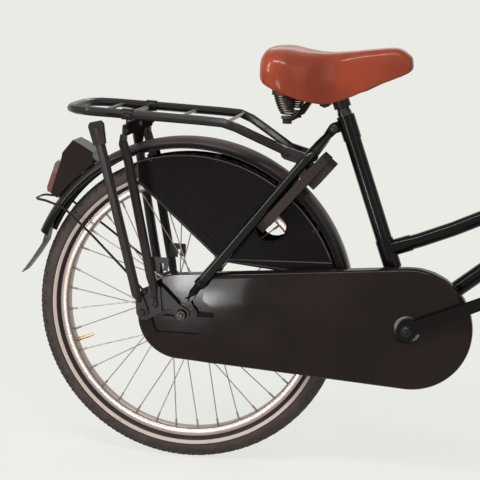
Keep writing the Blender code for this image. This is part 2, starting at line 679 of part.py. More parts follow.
def crank_mesh(side, angle, boss_face):
    """A tapered arm with its boss on the spindle and the pedal's axle pressed into its eye."""
    centre = BRACKET.copy()
    low = CRANK_Y * side
    high = (CRANK_Y + CRANK_THICKNESS) * side
    outline = capsule((0, 0), (CRANK_LENGTH, 0), 0.0118, 0.0095, 4)
    out = Vector((math.cos(angle), 0, math.sin(angle)))
    up = Vector((-math.sin(angle), 0, math.cos(angle)))
    arm = slab(outline, low, high, centre, out, up)
    boss = rod(centre + Y_AXIS * boss_face * side, centre + Y_AXIS * high, 0.0185, 12)
    eye = centre + out * CRANK_LENGTH
    profile = [(0, 0), (0, 0.0105), (PEDAL_START, 0.0105), (PEDAL_START, PEDAL_AXLE_RADIUS)]
    tip = PEDAL_START + PEDAL_WIDTH + 2 * GAP
    profile += [(tip, PEDAL_AXLE_RADIUS), (tip, 0.0070), (tip + 0.003, 0.0060), (tip + 0.003, 0)]
    axle = turned(profile, eye + Y_AXIS * (high - 0.002 * side), Y_AXIS * side, 8, closed=False)
    bore = rod(centre - Y_AXIS * 0.2, centre + Y_AXIS * 0.2, SPINDLE_RADIUS + GAP, 12)
    return fused(arm, [boss, axle], [bore]), eye


def pedal_mesh(eye, side):
    """Two rubber treads on a cage, bored for the axle. It hangs with its treads front and back."""
    start = CRANK_Y + CRANK_THICKNESS + PEDAL_START - 0.002 + GAP
    end = start + PEDAL_WIDTH
    half_depth = PEDAL_DEPTH / 2
    half_height = PEDAL_HEIGHT / 2
    corner = 0.004
    outline = [(half_height - corner, -half_depth), (half_height, -half_depth + corner)]
    outline += [(half_height, half_depth - corner), (half_height - corner, half_depth)]
    outline += [(-x, -z) for x, z in outline]
    eye = Vector((eye.x, 0, eye.z))
    body = slab(outline, start * side, end * side, eye)
    bore_radius = PEDAL_AXLE_RADIUS / math.cos(math.pi / 8) + 2 * GAP
    cuts = [rod(eye + Y_AXIS * (start - 0.01) * side, eye + Y_AXIS * (end + 0.01) * side, bore_radius, 8)]
    near, far = sorted(((start + 0.012) * side, (end - 0.012) * side))
    for sign in (-1, 1):
        middle = eye + Z_AXIS * 0.0145 * sign
        cuts.append(box(middle + Vector((-0.03, near, -0.005)), middle + Vector((0.03, far, 0.005))))
    return fused(body, cuts=cuts)


def spindle_mesh():
    """The spindle through the bracket, with a domed bolt head outside each crank."""
    face = CRANK_Y + CRANK_THICKNESS
    half = [(face + GAP, SPINDLE_RADIUS), (face + GAP, 0.0105), (face + 0.0055, 0.006), (face + 0.0068, 0)]
    profile = [(-y, r) for y, r in reversed(half)] + half
    return turned(profile, BRACKET, Y_AXIS, 12, closed=False)


def cup_mesh(side):
    """A bracket cup: its thread fills the shell's bore and its flange lies on the shell's face."""
    thread = BRACKET_RADIUS - 0.0045 - GAP
    face = BRACKET_HALF + GAP
    end = BRACKET_HALF + 0.0035
    profile = [(BRACKET_HALF - 0.012, SPINDLE_RADIUS + GAP), (BRACKET_HALF - 0.012, thread)]
    profile += [(face, thread), (face, CUP_RADIUS), (end, CUP_RADIUS), (end, SPINDLE_RADIUS + GAP)]
    return turned(profile, BRACKET, Y_AXIS * side, 12)


piece("bracket_spindle", spindle_mesh(), ZINC, crank_spin)
boss_face = {"right": BOSS_FACE + GAP, "left": BRACKET_HALF + 0.012}
for side, label in ((-1, "right"), (1, "left")):
    angle = CRANK_ANGLE if side < 0 else CRANK_ANGLE + math.pi
    mesh, eye = crank_mesh(side, angle, boss_face[label])
    piece("crank_" + label, mesh, SATIN, crank_spin)
    pedal_spin = pivot("pedal_axis_" + label, eye)
    piece("pedal_" + label, pedal_mesh(eye, side), RUBBER, pedal_spin)
    piece("bracket_cup_" + label, cup_mesh(side), ZINC)

# Chain case
CASE_REAR = (-0.006, -0.0075)
CASE_FRONT = (CHAINSTAY_REACH + 0.0045, 0.0)
CASE_BACK_WALL = 0.0014
CASE_BAND = 0.026
CASE_WEB = 0.025
CRANK_HOLE = 0.0235
CUTOUT_LEFT = -0.060
CUTOUT_RIGHT = 0.056
CUTOUT_FOOT = -0.0355


def case_outline(inset, steps=15):
    return capsule(CASE_REAR, CASE_FRONT, CASE_REAR_RADIUS - inset, CASE_FRONT_RADIUS - inset, steps)


def case_cover():
    """A pan open to the wheel, with a crank hole and a notch that leaves the track end free."""
    lip = CASE_INNER_Y + CASE_BACK_WALL + GAP
    outer = slab(case_outline(0), -CASE_OUTER_Y, -lip, REAR)
    inner = slab(case_outline(CASE_WALL), -CASE_OUTER_Y + CASE_WALL, 0, REAR)
    hole = rod(BRACKET - Y_AXIS * 0.1, BRACKET, CRANK_HOLE, 20)
    notch = [(CUTOUT_LEFT, 0.0), (CUTOUT_LEFT + 0.012, CUTOUT_FOOT), (CUTOUT_RIGHT - 0.028, CUTOUT_FOOT)]
    notch += [(CUTOUT_RIGHT, -0.008), (CUTOUT_RIGHT, 0.12), (CUTOUT_LEFT, 0.12)]
    notch = slab(notch, -0.1, -DROPOUT_INNER + 0.002, REAR)
    return fused(outer, cuts=[inner, hole, notch])


def case_back():
    """A flat band that closes the pan's edge, with a web that sits round the bracket cup."""
    low = -CASE_INNER_Y - CASE_BACK_WALL
    outer = slab(case_outline(0), low, -CASE_INNER_Y, REAR)
    front = []
    for x, z in case_outline(CASE_BAND, 10):
        front.append((min(x, CHAINSTAY_REACH - CASE_WEB), z))
    inner = slab(front, -0.1, 0, REAR)
    ahead = arc((CHAINSTAY_REACH, 0), CASE_FRONT_RADIUS - CASE_BAND, -70, 70, 10)
    ahead = slab(ahead, -0.1, 0, REAR)
    bore = rod(BRACKET - Y_AXIS * 0.1, BRACKET, CUP_RADIUS + GAP, 12)
    return fused(outer, cuts=[inner, ahead, bore])


piece("chain_case_cover", case_cover(), PLASTIC)
piece("chain_case_back", case_back(), PLASTIC)

# Fenders
FENDER_ARC = (4, 157)
FRONT_FENDER_ARC = (30, 190)


def fender_section(centre, angle):
    """Outer and inner points of the rounded channel at one angle."""
    out = Vector((math.cos(angle), 0, math.sin(angle)))
    half = FENDER_HALF_WIDTH
    points = []
    for y, drop in ((1, FENDER_DEPTH), (0.96, 0.0085), (0.5, 0.0005)):
        points.append((half * y, -drop))
    outer = [(-y, d) for y, d in points] + points[::-1]
    narrow = 1 - FENDER_WALL / half
    inner = [(y * narrow, d - FENDER_WALL if abs(d) < 0.01 else d) for y, d in outer[::-1]]
    return [centre + out * (FENDER_RADIUS + d) + Y_AXIS * y for y, d in outer + inner]


def fender_mesh(centre, span, steps):
    angles = [math.radians(span[0] + (span[1] - span[0]) * i / steps) for i in range(steps + 1)]
    return swept([fender_section(centre, angle) for angle in angles])


def flap_mesh():
    """A rubber flap that starts inside the fender's end and hangs out behind it."""
    radius = FENDER_RADIUS - 0.0072
    path = []
    for angle, half in ((147, 0.0195), (152, 0.0195)):
        turn = math.radians(angle)
        path.append((FENDER_CENTRE + Vector((math.cos(turn), 0, math.sin(turn))) * radius, half))
    path.append((bike(-0.2690, 0, 0.3780), 0.0250))
    path.append((bike(-0.2880, 0, 0.3480), 0.0270))
    path.append((bike(-FLAP_REACH + 0.0011, 0, 0.3215), 0.0245))
    sections = []
    for i, (point, half) in enumerate(path):
        near = path[max(i - 1, 0)][0]
        far = path[min(i + 1, len(path) - 1)][0]
        across = (far - near).cross(Y_AXIS).normalized() * 0.0011
        rim = []
        for y, thick in ((-1, 0.4), (-0.55, 1), (0.55, 1), (1, 0.4)):
            rim.append(point + Y_AXIS * half * y + across * thick)
        for y, thick in ((1, -0.4), (0.55, -1), (-0.55, -1), (-1, -0.4)):
            rim.append(point + Y_AXIS * half * y + across * thick)
        sections.append(rim)
    mesh = swept(sections)
    reach = min(vertex.co.x for vertex in mesh.vertices)
    for vertex in mesh.vertices:
        if vertex.co.x < REAR.x - 0.30:
            vertex.co.x += REAR.x - FLAP_REACH - reach
    return mesh


piece("rear_fender", fender_mesh(FENDER_CENTRE, FENDER_ARC, 16), GLOSS)
piece("mud_flap", flap_mesh(), RUBBER)

# Axle plates and the rear axle
PIVOT = bike(-0.0700, 0, 0.2752)
PIN_RADIUS = 0.004
LEG_EYE = 0.006
WIRE = 0.0022
EYE_Y = STAND_PLATE_OUTER + GAP
WIRE_EYE = bike(-0.0680, 0, 0.3130)


def axle_plate(side):
    """The plate on the axle that carries the carrier stay and the stand leg's pin."""
    outline = [(-0.082, -0.004), (-0.076, -0.014), (-0.064, -0.015), (-0.046, -0.004), (-0.034, 0.008)]
    outline += [(-0.018, 0.0075), (-0.012, -0.004), (-0.004, -0.0125), (0.006, -0.0125), (0.013, -0.004)]
    outline += [(0.013, 0.005), (0.006, 0.0115), (-0.004, 0.0160), (-0.036, 0.0465), (-0.058, 0.0480)]
    outline += [(-0.074, 0.0400), (-0.080, 0.0120)]
    plate = slab(outline, STAND_PLATE_INNER * side, STAND_PLATE_OUTER * side, REAR)
    start = PIVOT + Y_AXIS * (STAND_PLATE_OUTER - 0.002) * side
    reach = 0.002 + LEG_EYE + 2 * GAP
    profile = [(0, 0), (0, PIN_RADIUS), (reach, PIN_RADIUS), (reach, 0.0075)]
    profile += [(reach + 0.002, 0.0070), (reach + 0.003, 0)]
    pin = turned(profile, start, Y_AXIS * side, 12, closed=False)
    hole = rod(REAR - Y_AXIS * 0.1, REAR + Y_AXIS * 0.1, AXLE_RADIUS + GAP, 12)
    return fused(plate, [pin], [hole])


for side, label in ((-1, "right"), (1, "left")):
    piece("axle_plate_" + label, axle_plate(side), SATIN)
piece("rear_axle", axle_mesh(REAR, 0.034, DROPOUT_INNER, STAND_PLATE_OUTER), ZINC)

# Stand: each leg turns on its pin and is folded up here
LEG_TUBE_Y = 0.0855
LEG_FOOT_Y = 0.1250


def stand_leg(side):
    angle = STAND_ANGLE
    out = Vector((math.cos(angle), 0, math.sin(angle)))
    up = Vector((-math.sin(angle), 0, math.cos(angle)))
    low = EYE_Y * side
    eye = slab(capsule((0, 0), (0.026, 0), 0.0105, 0.0070), low, (EYE_Y + LEG_EYE) * side, PIVOT, out, up)
    knots = [
        PIVOT + out * 0.018 + Y_AXIS * (EYE_Y + LEG_EYE / 2) * side,
        PIVOT + out * 0.036 + Y_AXIS * LEG_TUBE_Y * side,
        PIVOT + out * 0.120 + Y_AXIS * (LEG_TUBE_Y + 0.010) * side,
        PIVOT + out * (STAND_LENGTH - 0.060) + Y_AXIS * (LEG_FOOT_Y - 0.007) * side,
        PIVOT + out * (STAND_LENGTH - 0.028) + Y_AXIS * (LEG_FOOT_Y - 0.002) * side,
        PIVOT + out * STAND_LENGTH + Y_AXIS * LEG_FOOT_Y * side,
    ]
    tube = pipe(knots, LEG_RADIUS, 2, [0.32, 1, 1, 1, 1, 1])
    foot_low = (LEG_FOOT_Y - 0.006) * side
    outline = [(-0.030, -0.010), (0.004, -0.013), (0.010, -0.009)]
    outline += [(a, -b) for a, b in reversed(outline)]
    foot = slab(outline, foot_low, (LEG_FOOT_Y + 0.006) * side, PIVOT + out * STAND_LENGTH, out, up)
    bore = rod(PIVOT - Y_AXIS * 0.2, PIVOT + Y_AXIS * 0.2, PIN_RADIUS + GAP, 12)
    return fused(tube, [eye, foot], [bore])


for side, label in ((-1, "right"), (1, "left")):
    leg_turn = pivot("stand_axis_" + label, PIVOT + Y_AXIS * EYE_Y * side)
    piece("stand_leg_" + label, stand_leg(side), SATIN, leg_turn)

# Carrier and its stays
CARRIER_STAY = 0.0085
CARRIER_SLOPE = 0.0335
PLATE_X = -0.100
PLATE_DROP = 0.033
PLATE_DEPTH = 0.0255
PLATE_THICK = 0.0025
PLATE_FOOT = CARRIER_HEIGHT - PLATE_DROP


def carrier_rail():
    """Half of the loop: from the seat stays back along one side to the middle of the rear bend."""
    wide = CARRIER_HALF_WIDTH
    knots = [(0.180, 0.026, -0.0595), (0.160, 0.034, -0.0480), (0.120, 0.060, -0.0270)]
    knots += [(0.088, 0.078, -0.0105), (0.066, wide, -0.0030), (0.030, wide, -0.0010)]
    knots += [(-0.060, wide, 0.0020), (-0.165, wide, 0.0053), (-0.192, wide - 0.008, 0.0061)]
    knots += [(-0.208, wide - 0.028, 0.0066), (-0.2125, wide - 0.055, 0.0068)]
    return [(x, y, CARRIER_HEIGHT + rise) for x, y, rise in knots]


def carrier_mesh():
    half = carrier_rail()
    loop = [bike(x, -y, z) for x, y, z in half] + [bike(x, y, z) for x, y, z in reversed(half)]
    tube = pipe(loop, CARRIER_TUBE, 2)
    joins = []
    for x in (-0.149, PLATE_X, -0.014, 0.072):
        z = CARRIER_HEIGHT - CARRIER_SLOPE * x
        wide = CARRIER_HALF_WIDTH - (0.002 if x > 0 else 0.0)
        joins.append(rod(bike(x, -wide, z), bike(x, wide, z), 0.003, 6))
    foot = PLATE_FOOT
    head = PLATE_FOOT + PLATE_DEPTH
    top = CARRIER_HEIGHT + 0.005
    wide = CARRIER_HALF_WIDTH
    crown = FENDER_CENTRE.z + math.sqrt(FENDER_RADIUS ** 2 - (PLATE_X + 0.002) ** 2) + GAP
    outline = [(-wide - 0.006, foot), (-0.034, foot), (-0.024, crown), (0.024, crown), (0.034, foot)]
    outline += [(wide + 0.006, foot), (wide + 0.006, head), (wide - 0.012, top)]
    outline += [(-wide + 0.012, top), (-wide - 0.006, head)]
    middle = bike(PLATE_X, 0, 0)
    half_thick = PLATE_THICK / 2
    plate = slab(outline, -half_thick, half_thick, middle, Y_AXIS, Z_AXIS, Vector((1, 0, 0)))
    slot = slab(
        capsule((-0.014, foot + 0.0115), (0.014, foot + 0.0115), 0.0045, 0.0045),
        -0.01, 0.01, middle, Y_AXIS, Z_AXIS, Vector((1, 0, 0)),
    )
    nose_z = CARRIER_HEIGHT - 0.0595
    nose = box(bike(0.170, -0.028, nose_z - 0.003), bike(0.178, 0.028, nose_z + 0.003))
    return fused(tube, joins + [plate, nose], [slot])


def carrier_stay(side):
    """A stay from the carrier's cross plate down to the axle plate, with its foot laid over that plate."""
    foot_y = STAND_PLATE_OUTER + GAP + CARRIER_STAY * 0.55
    knots = [
        bike(-0.1080, 0.086 * side, PLATE_FOOT + 0.0015),
        bike(-0.1065, 0.086 * side, PLATE_FOOT - 0.0145),
        bike(-0.0975, 0.086 * side, PLATE_FOOT - 0.0415),
        bike(-0.0545, 0.0790 * side, 0.3420),
        bike(-0.0505, (foot_y + 0.0035) * side, 0.3260),
        bike(-0.0470, foot_y * side, 0.3060),
        bike(-0.0455, foot_y * side, 0.2860),
    ]
    tube = pipe(knots, CARRIER_STAY, 2, [0.5, 1, 1, 1, 0.9, 0.5, 0.45])
    mid = PLATE_X - PLATE_THICK / 2 - GAP
    right = [(0.0085, -0.0085), (0.0085, 0.0145), (0.0045, 0.0185)]
    outline = right + [(-a, b) for a, b in reversed(right)]
    place = bike(mid, 0.086 * side, PLATE_FOOT)
    top = slab(outline, -0.0050, 0, place, Y_AXIS, Z_AXIS, Vector((1, 0, 0)))
    low = EYE_Y * side
    outline = [(-0.0585, 0.3200), (-0.0550, 0.2800), (-0.0500, 0.2755), (-0.0400, 0.2755), (-0.0350, 0.2800)]
    outline += [(-0.0390, 0.3220), (-0.0480, 0.3300)]
    foot = slab(outline, low, (EYE_Y + 0.005) * side, bike(0, 0, 0))
    joins = [top, foot]
    for x, z in ((-0.0497, 0.3080), (-0.0462, 0.2920)):
        joins.append(rod(bike(x, (EYE_Y + 0.002) * side, z), bike(x, (EYE_Y + 0.0105) * side, z), 0.0052, 6))
    return fused(tube, joins)


piece("carrier", carrier_mesh(), SATIN)
for side, label in ((-1, "right"), (1, "left")):
    piece("carrier_stay_" + label, carrier_stay(side), SATIN)


def fender_stay():
    """One bent wire: an eye on each axle plate, and a narrow loop behind the fender."""
    y = EYE_Y + WIRE
    half = [(WIRE_EYE.x - REAR.x, y, WIRE_EYE.z), (-0.088, y, 0.3325), (-0.107, 0.066, 0.350)]
    half += [(-0.167, 0.048, 0.3995), (-0.215, 0.036, 0.437), (-0.232, 0.034, 0.448)]
    half += [(-0.262, 0.031, 0.4565), (-0.279, 0.026, 0.4580), (-0.283, 0.016, 0.4583)]
    loop = [bike(a, -b, c) for a, b, c in half] + [bike(a, b, c) for a, b, c in reversed(half)]
    wire = pipe(loop, WIRE, 0)
    joins = []
    for side in (-1, 1):
        start = WIRE_EYE + Y_AXIS * EYE_Y * side
        profile = [(0, 0), (0, 0.0055), (0.0030, 0.0055), (0.0055, 0.0035), (0.0055, 0)]
        joins.append(turned(profile, start, Y_AXIS * side, 8, closed=False))
    return fused(wire, joins)


piece("rear_fender_stay", fender_stay(), SATIN)

# Tail light
LIGHT_HALF = 0.027
LIGHT_SPAN = (math.radians(126), math.radians(143.5))
LIGHT_TURN = math.radians(135)
LIGHT_SPOT = FENDER_CENTRE + Vector((math.cos(LIGHT_TURN), 0, math.sin(LIGHT_TURN))) * FENDER_RADIUS


def light_foot():
    """The housing's inner edge, just outside the fender's crown, measured from the light's place."""
    low, high = LIGHT_SPAN
    edge = []
    for i in range(4):
        turn = low + (high - low) * i / 3
        out = Vector((math.cos(turn), 0, math.sin(turn)))
        spot = FENDER_CENTRE + out * (FENDER_RADIUS + GAP * 2) - LIGHT_SPOT
        edge.append((spot.x, spot.z))
    return edge


def light_housing():
    foot = light_foot()
    outline = foot[:1] + [(0.03607, 0.05193), (0.01347, 0.06493), (-0.00143, 0.07173), (-0.01993, 0.04893)]
    outline += [(-0.02343, 0.03143), (-0.04093, -0.02507)] + foot[:0:-1]
    return slab(outline, -LIGHT_HALF, LIGHT_HALF, LIGHT_SPOT)


def light_lens():
    outline = [(-0.02383, 0.03243), (-0.04143, -0.02477), (-0.04743, -0.02287)]
    outline += [(-0.04843, -0.01507), (-0.03393, 0.02893), (-0.02893, 0.03393)]
    return slab(outline, -LIGHT_HALF + 0.002, LIGHT_HALF - 0.002, LIGHT_SPOT)


piece("tail_light_housing", light_housing(), SATIN)
piece("tail_light_lens", light_lens(), RED)

# Coat guards
GUARD_HOLE = (0.1458, 0.1615)
GUARD_SPAN = (21.5, 110.5)
GUARD_HEM = 0.014


def guard_mesh(side):
    outline = arc((0, 0), GUARD_RADIUS, GUARD_SPAN[0], GUARD_SPAN[1], 18)
    outline += [(-0.0925, 0.2270), (0.0500, 0.1035), (0.0640, 0.0945)]
    low, high = GUARD_Y * side, (GUARD_Y + GUARD_WALL) * side
    panel = slab(outline, low, high, REAR)
    hole = slab(arc(GUARD_HOLE, GUARD_HOLE_RADIUS, 0, 340, 17), -0.1, 0.1, REAR)
    hooks = []
    for angle in (35, 80, 105):
        out = Vector((math.cos(math.radians(angle)), 0, math.sin(math.radians(angle))))
        across = Vector((-out.z, 0, out.x))
        hook = [(-0.004, -0.012), (0.004, -0.012), (0.004, 0.0075), (-0.004, 0.0075)]
        hooks.append(slab(hook, low, high, REAR + out * GUARD_RADIUS, across, out))
    return fused(panel, hooks, [hole])


for side, label in ((-1, "right"), (1, "left")):
    piece("coat_guard_" + label, guard_mesh(side), VINYL)

# Ring lock
def lock_angle():
    """The tilt that holds the lock's feet on the seat stays, in front of them."""
    top, foot = stay_line()
    rise = math.atan2(top.z - foot.z, top.x - foot.x)
    beside = (foot - REAR).dot(Vector((math.sin(rise), 0, -math.cos(rise))))
    return rise - math.asin((LOCK_STANDOFF + beside) / (LOCK_TOP + 0.0185))


LOCK_ANGLE = lock_angle()
LOCK_OUT = Vector((math.cos(LOCK_ANGLE), 0, math.sin(LOCK_ANGLE)))
LOCK_NORMAL = Vector((math.sin(LOCK_ANGLE), 0, -math.cos(LOCK_ANGLE)))
LOCK_TIP = 34
LOCK_BAND = 0.009
LOCK_FOOT = 0.0131


def lock_body():
    """A horseshoe with a block on top. An arc groove in its front face holds the bolt."""
    inner_radius = LOCK_BOLT_ARC - LOCK_BAND
    outer_radius = LOCK_BOLT_ARC + LOCK_BAND
    right = [(a, LOCK_CENTRE + b) for a, b in arc((0, 0), outer_radius, -90 + LOCK_TIP, 4, 5)]
    right += [(0.0610, LOCK_TOP - 0.0085), (0.0500, LOCK_TOP + 0.0415)]
    right += [(0.0360, LOCK_TOP + 0.0595), (0.0150, LOCK_TOP + 0.0625)]
    left = [(-a, b) for a, b in reversed(right)]
    inside = [(a, LOCK_CENTRE + b) for a, b in arc((0, 0), inner_radius, -90 + LOCK_TIP, 40, 6)]
    inside += [(0.0335, LOCK_TOP - 0.0085), (0.0250, LOCK_TOP)]
    outline = right + left + [(-a, b) for a, b in inside] + inside[::-1]
    arms = slab(outline, -LOCK_HALF_THICKNESS, LOCK_HALF_THICKNESS, REAR, Y_AXIS, LOCK_OUT, LOCK_NORMAL)
    top = [(0.0460, LOCK_TOP + 0.0095), (0.0460, LOCK_TOP + 0.0415)]
    top += [(0.0340, LOCK_TOP + 0.0575), (0.0140, LOCK_TOP + 0.0615)]
    top += [(-a, b) for a, b in reversed(top)]
    block = slab(top, -0.0070, 0.0220, REAR, Y_AXIS, LOCK_OUT, LOCK_NORMAL)
    joins = [block]
    for side in (-1, 1):
        low, high = LOCK_TOP + 0.0095, LOCK_TOP + 0.0275
        foot = [(0.038 * side, low), (0.048 * side, low), (0.048 * side, high), (0.038 * side, high)]
        joins.append(slab(foot, -LOCK_FOOT, 0.0, REAR, Y_AXIS, LOCK_OUT, LOCK_NORMAL))
    half = LOCK_BOLT_RADIUS + 0.0010
    span = (-90 - LOCK_TIP - 12, 58)
    groove = arc((0, LOCK_CENTRE), LOCK_BOLT_ARC + half, span[0], span[1], 18)
    groove += arc((0, LOCK_CENTRE), LOCK_BOLT_ARC - half, span[1], span[0], 18)
    channel = slab(groove, -half, 0.05, REAR, Y_AXIS, LOCK_OUT, LOCK_NORMAL)
    return fused(arms, joins, [channel])


def lock_bolt():
    """A curved round bolt stored in the left arm, with a thumb stud on its tail."""
    centre = REAR + LOCK_OUT * LOCK_CENTRE
    curve = arc((0, 0), LOCK_BOLT_ARC, -90 + LOCK_TIP + 2, 24, 10)
    points = [centre + Y_AXIS * a + LOCK_OUT * b for a, b in curve]
    bolt = pipe(points, LOCK_BOLT_RADIUS, 1)
    place = points[-1] * 0.75 + points[-2] * 0.25
    stud = rod(place, place + LOCK_NORMAL * 0.0155, 0.0035, 10)
    knob = rod(place + LOCK_NORMAL * 0.0115, place + LOCK_NORMAL * 0.0175, 0.0075, 12)
    return fused(bolt, [stud, knob])


lock_turn = pivot("lock_axis", REAR + LOCK_OUT * LOCK_CENTRE)
piece("ring_lock", lock_body(), PLASTIC)
piece("lock_bolt", lock_bolt(), ZINC, lock_turn)


def brake_arm():
    """The coaster brake's arm on the left, clamped round the chain stay."""
    outline = capsule((0, 0), (0.1485, -0.0300), 0.0150, 0.0065, 6)
    arm = slab(outline, 0.0375, 0.0405, REAR)
    hole = rod(REAR, REAR + Y_AXIS * 0.1, CONE_RADIUS + GAP, 12)
    clip = box(rear(0.1440, 0.0375, -0.0340), rear(0.1530, 0.0460, -0.0092))
    return fused(arm, [clip], [hole])


piece("brake_arm", brake_arm(), SATIN)

# Saddle on its post
saddle_lift = pivot("saddle_axis", SEAT_TOP)
POST_TOP = SEAT_TOP + SEAT_DIR * SEAT_POST_OUT


def seat(x, y, z):
    """A point measured from the top of the seat post."""
    return POST_TOP + Vector((x, y, z))


CLAMP_RADIUS = 0.0110
CLAMP_SPOT = seat(-0.0209, 0, -0.0095)
CLAMP_HALF = 0.0160
RAIL_RADIUS = 0.0035
RAIL_Y = CLAMP_HALF + GAP + RAIL_RADIUS
RAIL_RISE = 0.0080
WASHER_Y = RAIL_Y + RAIL_RADIUS + GAP
SPRING_FOOT = seat(-0.0799, 0.055, -0.0385)
SPRING_HEAD = SPRING_FOOT + Vector((-0.007, 0, SPRING_HEIGHT + 0.006))
PAN_RISE = SPRING_HEAD.z + GAP - POST_TOP.z
COVER_WALL = 0.0045


def post_mesh():
    neck = 0.0110
    shoulder = SEAT_POST_LENGTH - SEAT_POST_OUT + 0.006
    profile = [(0, 0), (0, SEAT_POST_RADIUS), (shoulder, SEAT_POST_RADIUS), (shoulder + 0.003, neck)]
    profile += [(SEAT_POST_LENGTH, neck), (SEAT_POST_LENGTH, 0)]
    return turned(profile, POST_TOP - SEAT_DIR * SEAT_POST_LENGTH, SEAT_DIR, 12, closed=False)


def clamp_mesh():
    """A ring on the post with a cross barrel behind it. Washers outside the barrel hold the two rails."""
    low = POST_TOP - SEAT_DIR * 0.022
    collar = rod(low, POST_TOP + SEAT_DIR * 0.001, 0.0150, 12)
    barrel = rod(CLAMP_SPOT - Y_AXIS * CLAMP_HALF, CLAMP_SPOT + Y_AXIS * CLAMP_HALF, CLAMP_RADIUS, 12)
    end = WASHER_Y + 0.0115
    profile = [(-end, 0), (-end, 0.0040), (-WASHER_Y - 0.0085, 0.0065), (-WASHER_Y - 0.004, 0.0065)]
    profile += [(-WASHER_Y - 0.004, CLAMP_RADIUS), (-WASHER_Y, CLAMP_RADIUS), (-WASHER_Y, 0.004)]
    profile += [(-y, r) for y, r in reversed(profile)]
    bolt = turned(profile, CLAMP_SPOT, Y_AXIS, 8, closed=False)
    bore = rod(low - SEAT_DIR * 0.02, POST_TOP + SEAT_DIR * 0.02, 0.0110 + GAP, 12)
    return fused(collar, [barrel, bolt], [bore])


def rail_mesh():
    """Two bent wires from the nose through the clamp to a cup under each spring, tied by a cross wire."""
    joins = []
    spot = CLAMP_SPOT + Z_AXIS * RAIL_RISE
    foot = SPRING_FOOT - Z_AXIS * GAP
    for side in (-1, 1):
        flip = Vector((1, side, 1))
        knots = [
            seat(0.1001, 0.007, 0.0415), seat(0.0841, 0.0115, 0.0325), seat(0.0481, 0.0170, 0.0140),
            seat(0.0101, RAIL_Y, 0), spot + Vector((0.016, RAIL_Y, 0.0)),
            spot + Vector((-0.012, RAIL_Y, 0.0)), spot + Vector((-0.030, RAIL_Y + 0.007, -0.0120)),
            seat(-0.0669, 0.0420, -0.0370), foot - Z_AXIS * 0.0045,
        ]
        joins.append(pipe([k * flip for k in knots], RAIL_RADIUS, 1))
        cup = rod((foot - Z_AXIS * 0.0085) * flip, foot * flip, SPRING_FOOT_RADIUS - 0.0005, 12)
        joins.append(cup)
    low = foot - Z_AXIS * 0.0045
    cross = pipe([low * Vector((1, -1, 1)), low], 0.0028, 1)
    nose = box(seat(0.0911, -0.0125, 0.0370), seat(0.1061, 0.0125, 0.0435))
    return fused(nose, joins + [cross])


def saddle_sections():
    """Stations from nose to tail: distance, half width, crown, skirt and pan heights."""
    stations = [
        (0.1246, 0.0100, 0.0550, 0.0490, 0.0520), (0.1181, 0.0190, 0.0740, 0.0380, 0.0475),
        (0.0981, 0.0245, 0.0855, 0.0300, 0.0445), (0.0581, 0.0275, 0.0820, 0.0160, 0.0390),
        (0.0181, 0.0350, 0.0775, -0.0020, 0.0300), (-0.0219, 0.0520, 0.0745, -0.0125, 0.0200),
        (-0.0569, 0.0730, 0.0765, -0.0070, PAN_RISE + 0.002), (-0.0919, 0.0865, 0.0825, 0.0040, PAN_RISE),
        (-0.1259, 0.0760, 0.0780, 0.0175, PAN_RISE + 0.008),
        (-0.1369, 0.0520, 0.0590, 0.0300, PAN_RISE + 0.030),
    ]
    rows = [Vector(row[:3]) for row in stations]
    lows = [Vector((row[3], row[4], 0)) for row in stations]
    return list(zip(flow(rows, 2), flow(lows, 2)))


def cover_mesh():
    """The padded top: a crowned shell with drawn-in sides, open underneath down to its pan."""
    sections = []
    for (x, half, crown), (skirt, pan, _) in saddle_sections():
        rise = crown - skirt
        wall = min(COVER_WALL, half * 0.35)
        pan = min(pan, crown - 0.003)
        right = [(0.95, 0.0), (0.99, 0.16), (1.0, 0.42), (0.95, 0.66), (0.80, 0.86)]
        right += [(0.52, 0.965), (0.2, 0.995)]
        outer = [(half * a, skirt + rise * b) for a, b in right]
        ring = outer + [(-y, z) for y, z in reversed(outer)]
        lift = max(pan, skirt + rise * 0.18)
        inside = [(half * 0.95 - wall, skirt), (half * 0.985 - wall, lift)]
        ring += [(-y, z) for y, z in inside] + [(y, z) for y, z in reversed(inside)]
        sections.append([seat(x, y, z) for y, z in ring])
    return swept(sections)


def spring_line():
    """Points of a coil wound ten times, wide at the head and narrow at the foot, with straight ends."""
    axis = SPRING_HEAD - SPRING_FOOT
    count = SPRING_TURNS * SPRING_STEPS
    points = []
    for i in range(count + 1):
        share = i / count
        rise = 0.0034 + (axis.length - 0.0068) * share
        swell = math.sin(math.pi * min(share * 1.08, 1) * 0.5) ** 0.7
        radius = SPRING_FOOT_RADIUS + (SPRING_TOP_RADIUS - SPRING_FOOT_RADIUS) * swell
        turn = 2 * math.pi * i / SPRING_STEPS
        spot = SPRING_FOOT + axis * (rise / axis.length)
        points.append(spot + Vector((radius * math.cos(turn), radius * math.sin(turn), 0)))
    points.insert(0, points[0] - Z_AXIS * 0.0032)
    points.append(points[-1] + Z_AXIS * 0.0032)
    points[0].z = SPRING_FOOT.z
    points[-1].z = SPRING_HEAD.z
    return points


def self_gap(points, radius, apart):
    """The least clear distance between stretches of a tube that are more than so many points apart."""
    fine = [a.lerp(b, i / 4) for a, b in zip(points, points[1:]) for i in range(4)]
    skip = apart * 4
    pairs = ((a - b).length for i, a in enumerate(fine) for b in fine[i + skip:])
    return min(pairs) - 2 * radius


def spring_mesh(side):
    """The coil as one unbroken tube, on the left or right."""
    mirror = Vector((1, side, 1))
    return pipe([p * mirror for p in spring_line()], SPRING_WIRE, 1)


